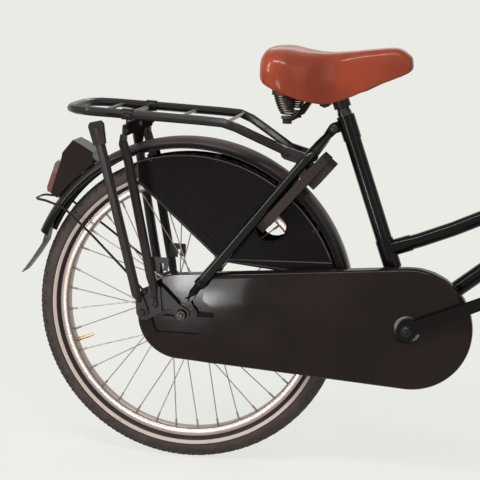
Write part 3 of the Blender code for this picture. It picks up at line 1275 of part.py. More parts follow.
coil_gap = self_gap(spring_line(), SPRING_WIRE, SPRING_STEPS // 2)
print(f"saddle spring: least gap between its own turns {coil_gap * 1000:.2f} mm")
piece("seat_post", post_mesh(), GLOSS, saddle_lift)
piece("saddle_clamp", clamp_mesh(), SATIN, saddle_lift)
piece("saddle_frame", rail_mesh(), SATIN, saddle_lift)
piece("saddle_cover", cover_mesh(), LEATHER, saddle_lift, 60)
for side, label in ((-1, "right"), (1, "left")):
    piece("saddle_spring_" + label, spring_mesh(side), SATIN, saddle_lift, 80)

# Steering
steer_turn = pivot("steering_axis", steer(HEAD_FOOT))
front_spin.parent = steer_turn
front_spin.matrix_parent_inverse = Matrix.Translation(-steer_turn.location)
FORK_OUTER = FRONT_HUB_WIDTH / 2 + DROPOUT_THICKNESS
NUT_TOP = HEAD_TOP + 0.018


def fork_mesh():
    """Steerer, crown, two raked blades and their open tips."""
    steerer = rod(steer(CROWN_FOOT + 0.006), steer(NUT_TOP - 0.001), STEERER_RADIUS, 12)
    half = CROWN_HALF_DEPTH
    outline = capsule((-BLADE_SPREAD, 0), (BLADE_SPREAD, 0), half, half, 6)
    crown = slab(outline, 0, CROWN_HEIGHT, steer(CROWN_FOOT), Y_AXIS, STEER_AHEAD, STEER_DIR)
    boss = rod(steer(CROWN_FOOT - CROWN_BOSS), steer(CROWN_FOOT + 0.010), 0.0050, 8)
    joins = [crown, boss]
    for side in (-1, 1):
        tip = FRONT_HUB_WIDTH / 2 + DROPOUT_THICKNESS / 2
        knots = [
            steer(CROWN_FOOT + 0.010, 0, BLADE_SPREAD * side),
            steer(0.130, 0, (BLADE_SPREAD + 0.004) * side),
            steer(0.060, 0.012, (BLADE_SPREAD + 0.006) * side),
            steer(0.018, 0.033, (tip - 0.001) * side),
        ]
        path = flow(knots, 2)
        count = len(path) - 1
        joins.append(pipe(path, BLADE_RADIUS, 2, [1 - 0.4 * (i / count) ** 1.5 for i in range(count + 1)]))
        plate = [(-0.012, 0.030), (-0.013, 0.0), (-0.009, -0.012), (0.009, -0.012)]
        plate += [(0.013, 0.0), (0.004, 0.034)]
        low = FRONT_HUB_WIDTH / 2 * side
        joins.append(slab(plate, low, FORK_OUTER * side, FRONT, STEER_AHEAD, STEER_DIR))
    bore = rod(steer(HEAD_FOOT + 0.0128), steer(NUT_TOP + 0.02), STEERER_BORE, 12)
    slot = [(a, b) for a, b in arc((0, 0), AXLE_RADIUS + GAP, 0, 180, 6)]
    slot += [(-AXLE_RADIUS - GAP, -0.03), (AXLE_RADIUS + GAP, -0.03)]
    slots = slab(slot, -0.1, 0.1, FRONT, STEER_AHEAD, STEER_DIR)
    return fused(steerer, joins, [bore, slots])


piece("fork", fork_mesh(), GLOSS, steer_turn)
seat = CROWN_FOOT + CROWN_HEIGHT + GAP
cup_bore = STEERER_RADIUS / math.cos(math.pi / 12) + 2 * GAP
low_cup = [(seat, cup_bore), (seat, 0.0175), (HEAD_FOOT - GAP, 0.0190), (HEAD_FOOT - GAP, cup_bore)]
piece("headset_lower", turned(low_cup, STEER_FOOT, STEER_DIR, 12), ZINC)
top_nut = [(HEAD_TOP + GAP, STEERER_RADIUS + GAP), (HEAD_TOP + GAP, 0.0190), (HEAD_TOP + 0.007, 0.0175)]
top_nut += [(HEAD_TOP + 0.008, 0.0170), (NUT_TOP, 0.0170), (NUT_TOP, STEERER_RADIUS + GAP)]
piece("headset_upper", turned(top_nut, STEER_FOOT, STEER_DIR, 12), ZINC, steer_turn)
piece("front_axle", axle_mesh(FRONT, 0.038, FRONT_HUB_WIDTH / 2, FORK_OUTER), ZINC, steer_turn)
FRONT_FENDER = FRONT + Z_AXIS * FRONT_FENDER_RISE
piece("front_fender", fender_mesh(FRONT_FENDER, FRONT_FENDER_ARC, 16), GLOSS, steer_turn)


def front_stay():
    """A bent wire from the axle's ends round the back of the front fender."""
    y = FORK_OUTER + 0.0120
    turn = math.radians(176)
    back = FRONT_FENDER + Vector((math.cos(turn), 0, math.sin(turn))) * (FENDER_RADIUS + WIRE + 0.0012)
    half = [FRONT + Vector((-0.006, y, 0.006)), back + Vector((0.060, 0.0365, -0.001))]
    half += [back + Vector((0.012, 0.0345, 0)), back + Vector((0.002, 0.026, 0))]
    half += [back + Vector((0, 0.012, 0))]
    flip = Vector((1, -1, 1))
    loop = [p * flip for p in half] + half[::-1]
    wire = pipe(loop, WIRE, 0)
    joins = []
    for side in (-1, 1):
        low = FORK_OUTER + 0.0090 + GAP * 4
        high = low + 0.0028
        ring = [(low, AXLE_RADIUS + GAP), (low, 0.0085), (high, 0.0085), (high, AXLE_RADIUS + GAP)]
        joins.append(turned(ring, FRONT, Y_AXIS * side, 8))
    return fused(wire, joins)


piece("front_fender_stay", front_stay(), SATIN, steer_turn)

# Headlight on a strip in front of the fork crown
LAMP = steer(CROWN_FOOT + 0.0838, 0.078)
LAMP_RADIUS = 0.029


def lamp_mesh():
    profile = [(-0.034, 0), (-0.033, 0.008), (-0.024, 0.020), (-0.004, LAMP_RADIUS), (0.014, LAMP_RADIUS)]
    profile += [(0.014, LAMP_RADIUS - 0.0025), (-0.002, LAMP_RADIUS - 0.0025), (-0.018, 0.014), (-0.018, 0)]
    shell = turned(profile, LAMP, Vector((1, 0, -0.08)), 12, closed=False)
    ahead = CROWN_HALF_DEPTH + GAP
    strip = [(ahead, -0.006), (ahead + 0.003, -0.006), (ahead + 0.010, 0.010), (0.067, 0.048)]
    strip += [(0.064, 0.052), (ahead + 0.006, 0.014), (ahead, 0.004)]
    bracket = slab(strip, -0.008, 0.008, steer(CROWN_FOOT + 0.008), STEER_AHEAD, STEER_DIR)
    return fused(shell, [bracket])


piece("headlight", lamp_mesh(), SATIN, steer_turn)
glass = [(0.004, 0), (0.004, LAMP_RADIUS - 0.0028), (0.011, LAMP_RADIUS - 0.0028)]
glass += [(0.017, LAMP_RADIUS - 0.010), (0.019, 0)]
piece("headlight_lens", turned(glass, LAMP, Vector((1, 0, -0.08)), 12, closed=False), CLEAR, steer_turn)

# Stem and handlebar
STEM_TOP = HEAD_TOP + QUILL_OUT
BAR = steer(STEM_TOP - 0.008, STEM_REACH)
CLAMP_WALL = 0.0056


def stem_mesh():
    quill = rod(steer(HEAD_FOOT + 0.0278), steer(STEM_TOP - 0.010), STEERER_BORE - GAP, 12)
    head = rod(steer(STEM_TOP - 0.034), steer(STEM_TOP), 0.0150, 12)
    reach = rod(steer(STEM_TOP - 0.015), BAR - STEER_AHEAD * 0.006, 0.0115, 12)
    clamp = rod(BAR - Y_AXIS * 0.019, BAR + Y_AXIS * 0.019, BAR_RADIUS + CLAMP_WALL, 12)
    bolt = rod(steer(STEM_TOP - 0.001), steer(STEM_TOP + 0.005), 0.0065, 6)
    bore = rod(BAR - Y_AXIS * 0.1, BAR + Y_AXIS * 0.1, BAR_RADIUS + 0.0018, 12)
    return fused(quill, [head, reach, clamp, bolt], [bore])


def bar_half():
    """Half of the bar: out of the clamp, up and forward, then swept back to the hand."""
    knots = [(0, 0.0, 0), (0, 0.040, 0), (0.012, 0.078, 0.020), (0.026, 0.122, 0.072), (0.030, 0.168, 0.106)]
    knots += [(0.010, 0.212, 0.120), (-0.040, 0.243, 0.122)]
    return flow([BAR + Vector(k) for k in knots], 2)[1:]


BAR_TURN = BAR + Vector((-0.040, 0.243, 0.122))
BAR_TIP = BAR + Vector((-0.208, 0.272, 0.115))
BAR_DIR = (BAR_TIP - BAR_TURN).normalized()


def bar_mesh():
    half = bar_half() + [BAR_TIP]
    flip = Vector((1, -1, 1))
    return pipe([p * flip for p in reversed(half)] + [BAR] + half, BAR_RADIUS, 2)


def grip_mesh(side):
    end = GRIP_LENGTH
    radius = GRIP_RADIUS
    bore = BAR_RADIUS + 0.0009
    profile = [(end - 0.004, 0), (end - 0.004, bore), (0, bore), (0, radius + 0.0012)]
    profile += [(0.005, radius + 0.0012), (0.008, radius - 0.0008), (end - 0.010, radius - 0.0008)]
    profile += [(end - 0.006, radius + 0.001), (end, radius - 0.002), (end + 0.001, 0)]
    flip = Vector((1, side, 1))
    start = BAR_TIP - BAR_DIR * (GRIP_LENGTH - 0.004 - GAP)
    return turned(profile, start * flip, BAR_DIR * flip, 10, closed=False)


piece("stem", stem_mesh(), ZINC, steer_turn)
piece("handlebar", bar_mesh(), ZINC, steer_turn)
for side, label in ((-1, "right"), (1, "left")):
    piece("grip_" + label, grip_mesh(side), LEATHER, steer_turn)

# Bell by the left grip
BELL_SPOT = BAR_TURN + BAR_DIR * 0.026
BELL_TOP = BELL_SPOT + Vector((0, -0.004, 0.034))
BELL_RADIUS = 0.0210


def bell_mesh():
    hole = BAR_RADIUS + 0.0010
    ring = [(-0.006, hole), (-0.006, hole + 0.0028), (0.006, hole + 0.0028), (0.006, hole)]
    band = turned(ring, BELL_SPOT, BAR_DIR, 8)
    up = (BELL_TOP - BELL_SPOT).normalized()
    post = rod(BELL_SPOT + up * (BAR_RADIUS + 0.0015), BELL_TOP + up * 0.0068, 0.0045, 6)
    base = rod(BELL_SPOT + up * 0.0165, BELL_SPOT + up * 0.0200, 0.0170, 8)
    dome = [(-0.010, BELL_RADIUS), (-0.003, BELL_RADIUS * 0.96), (0.004, BELL_RADIUS * 0.66)]
    dome += [(0.0075, 0), (0.0060, 0), (0.003, BELL_RADIUS * 0.60), (-0.0035, BELL_RADIUS * 0.90)]
    dome += [(-0.010, BELL_RADIUS - 0.001)]
    shell = turned(dome, BELL_TOP, up, 10)
    return fused(shell, [post, base, band])


BELL_UP = (BELL_TOP - BELL_SPOT).normalized()
BELL_SIDE = BELL_UP.cross(BAR_DIR).normalized()
LEVER_PIN = BELL_SPOT + BELL_UP * 0.0160 + BELL_SIDE * -0.0180
lever_turn = pivot("bell_lever_axis", LEVER_PIN)
lever_turn.parent = steer_turn
lever_turn.matrix_parent_inverse = Matrix.Translation(-steer_turn.location)


def lever_mesh():
    """A thumb lever under the bell's base plate."""
    ahead = BAR_DIR * -1
    outline = capsule((0, 0), (0.026, 0.010), 0.0040, 0.0060, 5)
    plate = slab(outline, -0.0030, -GAP, LEVER_PIN, ahead, -BELL_SIDE, BELL_UP)
    return plate


piece("bell", bell_mesh(), POLISHED, steer_turn)
piece("bell_lever", lever_mesh(), POLISHED, lever_turn)
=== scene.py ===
# %% [markdown]
# # A child's city bicycle
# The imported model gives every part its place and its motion. Here each part gets its finish, and the parts whose
# form matters most get a finer mesh: wheels, mudguards, saddle, springs, chain case, seat stays and grips. Lengths
# are metres, and the bicycle points along X with its right side towards -Y.
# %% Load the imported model
import json
import math

import bmesh
import bpy
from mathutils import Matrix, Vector


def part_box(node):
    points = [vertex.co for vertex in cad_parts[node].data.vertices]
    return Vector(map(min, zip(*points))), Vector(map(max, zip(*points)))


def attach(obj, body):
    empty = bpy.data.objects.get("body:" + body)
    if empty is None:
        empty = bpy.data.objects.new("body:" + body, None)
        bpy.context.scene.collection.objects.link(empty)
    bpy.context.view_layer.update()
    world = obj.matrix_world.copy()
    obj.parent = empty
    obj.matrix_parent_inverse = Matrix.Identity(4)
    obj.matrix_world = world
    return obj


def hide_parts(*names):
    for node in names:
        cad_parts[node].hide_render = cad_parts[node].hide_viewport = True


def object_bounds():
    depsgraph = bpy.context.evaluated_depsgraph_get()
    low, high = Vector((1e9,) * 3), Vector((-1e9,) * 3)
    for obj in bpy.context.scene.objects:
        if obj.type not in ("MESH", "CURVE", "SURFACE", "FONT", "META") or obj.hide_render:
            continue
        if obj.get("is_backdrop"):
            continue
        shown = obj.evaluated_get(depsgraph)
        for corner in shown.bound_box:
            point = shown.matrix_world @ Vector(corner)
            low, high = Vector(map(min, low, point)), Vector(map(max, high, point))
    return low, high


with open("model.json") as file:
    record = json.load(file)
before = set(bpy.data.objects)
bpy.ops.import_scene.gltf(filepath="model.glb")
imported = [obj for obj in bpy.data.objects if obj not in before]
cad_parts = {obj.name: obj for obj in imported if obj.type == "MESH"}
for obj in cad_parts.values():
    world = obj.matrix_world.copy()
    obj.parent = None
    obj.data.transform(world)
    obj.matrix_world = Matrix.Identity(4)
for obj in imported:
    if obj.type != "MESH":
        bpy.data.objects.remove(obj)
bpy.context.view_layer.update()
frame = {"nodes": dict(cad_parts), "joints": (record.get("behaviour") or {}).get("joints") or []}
place_of = {joint["name"]: Vector(joint["pos_m"]) for joint in frame["joints"]}
REAR = place_of["rear_wheel_spin"]
FRONT = place_of["front_wheel_spin"]
BRACKET = place_of["crank_turn"]
ALONG_Y = Vector((0, 1, 0))
SIDES = ((-1, "right"), (1, "left"))
print("parts in the model:", len(frame["nodes"]))

# %% [markdown]
# ## Shader sums
# A finish is easier to read as a sum than as a picture of wires. One small class wraps a socket, so that
# `1 - mask` adds a Math node, and one method adds any other node: its settings first, then its inputs.
# %% A socket that can be used in sums


class Wire:
    """A shader output. Sums on it add Math nodes to its finish."""

    def __init__(self, finish, socket):
        self.finish = finish
        self.socket = socket

    def sum(self, operation, first, second):
        return self.finish.node("ShaderNodeMath", {"operation": operation}, {0: first, 1: second})

    def __add__(self, other):
        return self.sum("ADD", self, other)

    def __radd__(self, other):
        return self.sum("ADD", other, self)

    def __sub__(self, other):
        return self.sum("SUBTRACT", self, other)

    def __rsub__(self, other):
        return self.sum("SUBTRACT", other, self)

    def __mul__(self, other):
        return self.sum("MULTIPLY", self, other)

    def __rmul__(self, other):
        return self.sum("MULTIPLY", other, self)

    def __pow__(self, other):
        return self.sum("POWER", self, other)


# %% A finish and its nodes


class Finish:
    """A Principled material whose nodes are added by name."""

    def __init__(self, name, colour, roughness, metallic=0.0, fixed=None):
        self.material = bpy.data.materials.new(name)
        self.material.use_nodes = True
        self.material.diffuse_color = (*colour, 1)
        self.tree = self.material.node_tree
        self.shader = self.tree.nodes["Principled BSDF"]
        self.set("Base Color", (*colour, 1))
        self.set("Roughness", roughness)
        self.set("Metallic", metallic)
        for socket, value in (fixed or {}).items():
            self.set(socket, value)

    def set(self, name, value):
        socket = self.shader.inputs[name]
        if isinstance(value, Wire):
            self.tree.links.new(value.socket, socket)
        else:
            socket.default_value = value

    def node(self, kind, settings, inputs, out=0):
        made = self.tree.nodes.new(kind)
        for name, value in settings.items():
            setattr(made, name, value)
        for name, value in inputs.items():
            if isinstance(value, Wire):
                self.tree.links.new(value.socket, made.inputs[name])
            else:
                made.inputs[name].default_value = value
        return Wire(self, made.outputs[out])

    def place(self, centre=(0, 0, 0), scale=(1, 1, 1)):
        """Object coordinates, measured from a point and stretched."""
        spot = self.node("ShaderNodeTexCoord", {}, {}, out="Object")
        moved = self.node("ShaderNodeVectorMath", {"operation": "SUBTRACT"}, {0: spot, 1: centre})
        return self.node("ShaderNodeVectorMath", {"operation": "MULTIPLY"}, {0: moved, 1: scale})

    def parts(self, vector):
        split = self.node("ShaderNodeSeparateXYZ", {}, {0: vector})
        return [Wire(self, socket) for socket in split.socket.node.outputs]

    def noise(self, spot, scale, detail=3.0):
        return self.node("ShaderNodeTexNoise", {}, {"Vector": spot, "Scale": scale, "Detail": detail})

    def fade(self, value, low, high, start=0.0, end=1.0):
        settings = {"interpolation_type": "SMOOTHSTEP"}
        bounds = {"Value": value, "From Min": low, "From Max": high, "To Min": start, "To Max": end}
        return self.node("ShaderNodeMapRange", settings, bounds)

    def mix(self, share, first, second):
        """Colour between two others, by a share from 0 to 1.

        A Mix node takes its colours at inputs 6 and 7, and gives them at output 2.
        """
        first = (*first, 1) if isinstance(first, tuple) else first
        second = (*second, 1) if isinstance(second, tuple) else second
        return self.node("ShaderNodeMix", {"data_type": "RGBA"}, {0: share, 6: first, 7: second}, out=2)

    def bump(self, height, distance):
        self.set("Normal", self.node("ShaderNodeBump", {}, {"Height": height, "Distance": distance}))


def scaled(colour, amount):
    return tuple(channel * amount for channel in colour)


def tell(kind, *materials):
    print(kind + ":", ", ".join(material.name for material in materials))


# %% [markdown]
# ## Painted steel
# The frame and the fork are black enamel under a hard clear surface. Paint is never quite flat: it has a faint orange
# peel and a film of dust. A slow noise puts the film into the colour and the roughness, and a fine noise puts the peel
# into the bump. Three parts need more. The mudguards get a painted sheen of the overhead light: their upward faces are
# painted paler and made rougher, so their mask reads the direction of the face. The carrier's tubes shine, but its
# cross plate doesn't, so a box mask takes the coat off it.
# The seat stays have the clearest shine, which is only a smoother paint with less dust, and the hem bars of the coat
# guards and the spindle have a softer one.
# %% Gloss and satin black paint
ENAMEL_BLACK = (0.0036, 0.0026, 0.0027)
FILM_COLOUR = (0.045, 0.036, 0.033)


def paint(name, colour, roughness, peel, dust, gloss=0.12):
    finish = Finish(name, colour, roughness, fixed={"Specular IOR Level": gloss})
    spot = finish.place()
    dust_and_sheen = finish.fade(finish.noise(spot, 9.0, 4.0), 0.45, 0.75)
    finish.set("Base Color", finish.mix(dust_and_sheen * dust, colour, FILM_COLOUR))
    speck = finish.fade(finish.noise(spot, 900.0, 2.0), 0.70, 0.78)
    finish.set("Roughness", roughness + dust_and_sheen * 0.10 + speck * 0.15)
    finish.bump(finish.noise(spot, 420.0, 2.0), peel)
    return finish.material


def top_sheen_paint(name, colour, sheen_colour):
    """Gloss enamel with a painted sheen of the overhead light: its upward faces are paler and rougher."""
    finish = Finish(name, colour, 0.10, fixed={"Specular IOR Level": 0.12})
    x, y, upward = finish.parts(finish.node("ShaderNodeNewGeometry", {}, {}, out="Normal"))
    # Painted sheen: the upward faces are mixed towards a paler colour, which stands in for the overhead light on them.
    dust_and_sheen = finish.fade(upward, 0.12, 0.80) * (0.55 + finish.noise(finish.place(), 22.0, 4.0) * 0.6)
    finish.set("Base Color", finish.mix(dust_and_sheen, colour, sheen_colour))
    finish.set("Roughness", 0.10 + dust_and_sheen * 0.42)
    return finish.material


PLATE_TOP = (0.6085, 0.6135)
PLATE_FRONT = (-0.515, -0.500)


def carrier_paint(name, colour):
    """Enamel on the carrier's tubes. Its cross plate, low and far back, is bare of gloss."""
    fixed = {"Specular IOR Level": 0.0, "Coat Roughness": 0.20, "Coat IOR": 1.30}
    finish = Finish(name, colour, 0.6, fixed=fixed)
    x, y, z = finish.parts(finish.place())
    plate = finish.fade(z, *PLATE_TOP, 1.0, 0.0) * finish.fade(x, *PLATE_FRONT, 1.0, 0.0)
    finish.set("Coat Weight", 1 - plate)
    return finish.material


GLOSS = paint("black_enamel", ENAMEL_BLACK, roughness=0.09, peel=0.00004, dust=0.08)
SHEEN = paint("carrier_enamel", (0.0090, 0.0066, 0.0066), roughness=0.19, peel=0.00001, dust=0.2, gloss=0.15)
# The mudguards' paler upward faces are a painted sheen of the overhead light.
TOP_SHEEN = top_sheen_paint("mudguard_enamel", ENAMEL_BLACK, (0.052, 0.040, 0.037))
CARRIER = carrier_paint("carrier_rack_enamel", (0.0120, 0.0088, 0.0088))
BRIGHT = paint("stay_enamel", ENAMEL_BLACK, roughness=0.10, peel=0.0, dust=0.04, gloss=0.24)
SATIN = paint("satin_black_coat", (0.0165, 0.0122, 0.0124), roughness=0.29, peel=0.00008, dust=0.3, gloss=0.10)
tell("paints", GLOSS, SHEEN, TOP_SHEEN, CARRIER, BRIGHT, SATIN)

# %% [markdown]
# ## Plastics and vinyl
# The coat guards are a thin vinyl sheet with a fine pebbled face. The lock, the lamp shells, the chain case and the
# pedal ends are moulded: the same fine texture, with the shine of handled plastic in patches. The chain case is the
# smoothest of them, and the lock is dull all over.
# %% Vinyl and moulded plastic


def moulded(name, colour, roughness, pebble, size, gloss):
    finish = Finish(name, colour, roughness, fixed={"Specular IOR Level": gloss})
    spot = finish.place()
    shine = finish.fade(finish.noise(spot, 6.0, 3.0), 0.35, 0.7)
    finish.set("Roughness", roughness + 0.08 - shine * 0.12)
    finish.set("Base Color", finish.mix(shine * 0.6, scaled(colour, 1.9), colour))
    cells = finish.node("ShaderNodeTexVoronoi", {"feature": "F1"}, {"Vector": spot, "Scale": size})
    finish.bump(cells, pebble)
    return finish.material


VINYL = moulded("guard_vinyl", (0.0034, 0.0022, 0.0024), roughness=0.34, pebble=0.00003, size=700.0, gloss=0.025)
PLASTIC = moulded("moulded_black", (0.0120, 0.0092, 0.0086), roughness=0.34, pebble=0.00006, size=900.0, gloss=0.12)
LOCK_PLASTIC = moulded("lock_black", (0.0230, 0.0178, 0.0165), roughness=0.6, pebble=0.00012, size=500.0, gloss=0.0)
CASE_PLASTIC = moulded("case_black", (0.0062, 0.0036, 0.0032), roughness=0.10, pebble=0.00001, size=260.0, gloss=0.13)
tell("plastics", VINYL, PLASTIC, LOCK_PLASTIC, CASE_PLASTIC)

# %% [markdown]
# ## Metals
# Bright parts are zinc-plated or polished. Plating is cloudy, so noise drives its roughness. A polished rim has
# fine rings from the wheel it was buffed on, and these follow the distance from the hub.
# %% Plated steel and chrome


def plated(name, colour, roughness, cloud):
    finish = Finish(name, colour, roughness, 1.0)
    spot = finish.place()
    cloudy = finish.noise(spot, 140.0, 4.0)
    finish.set("Roughness", roughness + cloudy * cloud)
    finish.set("Base Color", finish.mix(cloudy, colour, scaled(colour, 0.8)))
    finish.bump(finish.noise(spot, 1500.0, 2.0), 0.00002)
    return finish.material


ZINC = plated("zinc_plate", (0.52, 0.49, 0.47), roughness=0.24, cloud=0.22)
CHROME = plated("chrome_plate", (0.78, 0.77, 0.76), roughness=0.06, cloud=0.06)
SPOKE_STEEL = plated("spoke_steel", (0.36, 0.305, 0.285), roughness=0.34, cloud=0.2)
BRASS = plated("valve_brass", (0.62, 0.40, 0.22), roughness=0.25, cloud=0.2)
DARK_STEEL = plated("dark_steel", (0.045, 0.038, 0.036), roughness=0.32, cloud=0.2)
BLACK_CHROME = plated("black_chrome", (0.060, 0.052, 0.050), roughness=0.12, cloud=0.1)
tell("metals", ZINC, CHROME, SPOKE_STEEL, BRASS, DARK_STEEL, BLACK_CHROME)

# %% Polished rim
RIM_INNER = 0.2222
# The band of painted shade along the rim's inner edge, where its face turns inward.
RIM_SHADE_BAND = (RIM_INNER + 0.0010, RIM_INNER + 0.0022)
RINGS_PER_METRE = 4000.0


def polished_ring(name, centre):
    """Aluminium with buffing rings round one hub, and painted shade in a narrow band along the inner edge, where the
    spokes end.
    """
    finish = Finish(name, (0.70, 0.61, 0.58), 0.3, 1.0)
    spot = finish.place(tuple(centre))
    x, y, z = finish.parts(spot)
    radius = (x * x + z * z) ** 0.5
    rings = finish.node("ShaderNodeTexNoise", {"noise_dimensions": "1D"}, {"W": radius, "Scale": RINGS_PER_METRE})
    smear = finish.noise(spot, 12.0, 4.0)
    finish.set("Roughness", 0.24 + rings * 0.10 + smear * 0.12)
    tone = finish.fade(smear, 0.35, 0.75)
    side = finish.mix(tone, (0.385, 0.320, 0.297), (0.330, 0.266, 0.242))
    # Painted shade: the colour darkens towards the rim's inner edge.
    inner_shade = finish.fade(radius, *RIM_SHADE_BAND, 1.0, 0.0)
    finish.set("Base Color", finish.mix(inner_shade, side, (0.300, 0.245, 0.222)))
    finish.bump(rings, 0.00003)
    return finish.material


# %% [markdown]
# ## Rubber
# The tyre is black rubber with a pale reflective band low on its wall. The band is a printed ring, so it is a mask
# on the distance from the hub. Dust sits on the tread, and fine ribs run round the wall beside the rim.
# %% Tyre rubber
BAND_LOW = 0.2432
BAND_HIGH = 0.2490
BAND_EDGE = 0.0003
TREAD_FROM = (0.2500, 0.2530)
WALL_TO = (0.2370, 0.2430)
RIBS_PER_METRE = 5200.0


def tyre_rubber(name, centre):
    finish = Finish(name, (0.030, 0.026, 0.026), 0.62, fixed={"Specular IOR Level": 0.25})
    spot = finish.place(tuple(centre))
    x, y, z = finish.parts(spot)
    radius = (x * x + z * z) ** 0.5
    inside = finish.fade(radius, BAND_LOW - BAND_EDGE, BAND_LOW + BAND_EDGE)
    outside = finish.fade(radius, BAND_HIGH - BAND_EDGE, BAND_HIGH + BAND_EDGE, 1.0, 0.0)
    worn = finish.fade(finish.noise(spot, 55.0, 5.0), 0.62, 0.80, 1.0, 0.45)
    band = inside * outside * worn
    dust = finish.fade(finish.noise(spot, 38.0, 5.0), 0.35, 0.75)
    tread = finish.fade(radius, *TREAD_FROM)
    dark = finish.mix(tread, (0.0110, 0.0082, 0.0080), (0.0270, 0.0195, 0.0172))
    bare = finish.mix(dust * tread, dark, (0.048, 0.0365, 0.0315))
    finish.set("Base Color", finish.mix(band, bare, (0.400, 0.305, 0.262)))
    finish.set("Roughness", 0.55 + dust * 0.25 - band * 0.2)
    ribs = finish.node("ShaderNodeMath", {"operation": "SINE"}, {0: radius * RIBS_PER_METRE})
    wall = finish.fade(radius, *WALL_TO, 1.0, 0.0)
    finish.bump(ribs * wall + finish.noise(spot, 700.0, 3.0) * 0.6, 0.00018)
    return finish.material


# %% Plain rubber
def plain_rubber(name, colour, roughness=0.7):
    finish = Finish(name, colour, roughness, fixed={"Specular IOR Level": 0.35})
    spot = finish.place()
    dust = finish.fade(finish.noise(spot, 45.0, 5.0), 0.4, 0.8)
    finish.set("Base Color", finish.mix(dust * 0.7, colour, scaled(colour, 2.2)))
    finish.set("Roughness", roughness - 0.1 + dust * 0.2)
    finish.bump(finish.noise(spot, 800.0, 3.0), 0.00012)
    return finish.material


RUBBER = plain_rubber("pedal_rubber", (0.028, 0.025, 0.025))
FLAP_RUBBER = plain_rubber("flap_rubber", (0.055, 0.046, 0.045), roughness=0.55)
tell("rubbers", RUBBER, FLAP_RUBBER)

# %% [markdown]
# ## Leather look
# The saddle and the grips wear the same brown cover: a smooth grain of small cells, shallow creases where it is
# drawn round the edge, and a wax shine that is broken up by handling.
# %% Brown cover


def leather(name, colour):
    fixed = {"Coat Roughness": 0.11, "Specular IOR Level": 0.18}
    finish = Finish(name, colour, 0.34, fixed=fixed)
    spot = finish.place()
    grain = {"Vector": spot, "Scale": 900.0}
    cells = finish.node("ShaderNodeTexVoronoi", {"feature": "DISTANCE_TO_EDGE"}, grain)
    pores = finish.fade(cells, 0.0, 0.18)
    cloud = finish.noise(spot, 14.0, 4.0)
    tone = finish.fade(cloud, 0.3, 0.75)
    finish.set("Base Color", finish.mix(tone, scaled(colour, 0.62), colour))
    crease = finish.noise(finish.place(scale=(1.0, 0.35, 2.2)), 90.0, 4.0)
    finish.set("Roughness", 0.30 + cloud * 0.16 + (1 - pores) * 0.08)
    finish.set("Coat Weight", 0.16 + cloud * 0.25)
    finish.bump(pores * 0.5 + crease * 0.9, 0.00022)
    return finish.material


LEATHER = leather("brown_cover", (0.258, 0.0300, 0.0040))
tell("covers", LEATHER)

# %% [markdown]
# ## Lenses
# A reflector is a clear plate with rows of small prisms moulded into its back. A checker of bumps reads as prisms
# at this size, and the coat gives the plate's smooth face. The top of the tail lamp is a dark window, so its colour
# changes above a height.
# %% Lens finishes
WINDOW_EDGE = 0.002


def lens(name, colour, size, smoke_from=None):
    finish = Finish(name, colour, 0.16, fixed={"Coat Weight": 1.0, "Coat Roughness": 0.03})
    x, y, z = finish.parts(finish.place(scale=(size, size, size)))
    across = finish.node("ShaderNodeMath", {"operation": "PINGPONG"}, {0: y, 1: 1.0})
    upward = finish.node("ShaderNodeMath", {"operation": "PINGPONG"}, {0: z + x * 0.4, 1: 1.0})
    prism = across * upward
    face = finish.mix(prism, scaled(colour, 0.45), colour)
    if smoke_from is not None:
        height = finish.parts(finish.place())[2]
        smoky = finish.fade(height, smoke_from, smoke_from + WINDOW_EDGE)
        face = finish.mix(smoky, face, (0.070, 0.052, 0.045))
    finish.set("Base Color", face)
    finish.set("Roughness", 0.10 + prism * 0.12)
    finish.bump(prism, 0.0004)
    return finish.material


RED_LENS = lens("red_reflector", (0.185, 0.024, 0.013), size=330.0, smoke_from=0.506)
CLEAR_LENS = lens("headlamp_lens", (0.78, 0.80, 0.80), size=240.0)
tell("lenses", RED_LENS, CLEAR_LENS)

# %% [markdown]
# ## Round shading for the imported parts
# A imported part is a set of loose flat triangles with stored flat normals. A small Geometry Nodes tree drops those
# normals, joins the triangles, shades them smooth and keeps every edge that is sharper than a set angle. The part's
# own mesh isn't touched, because this is a modifier.
# %% A tree with named inputs


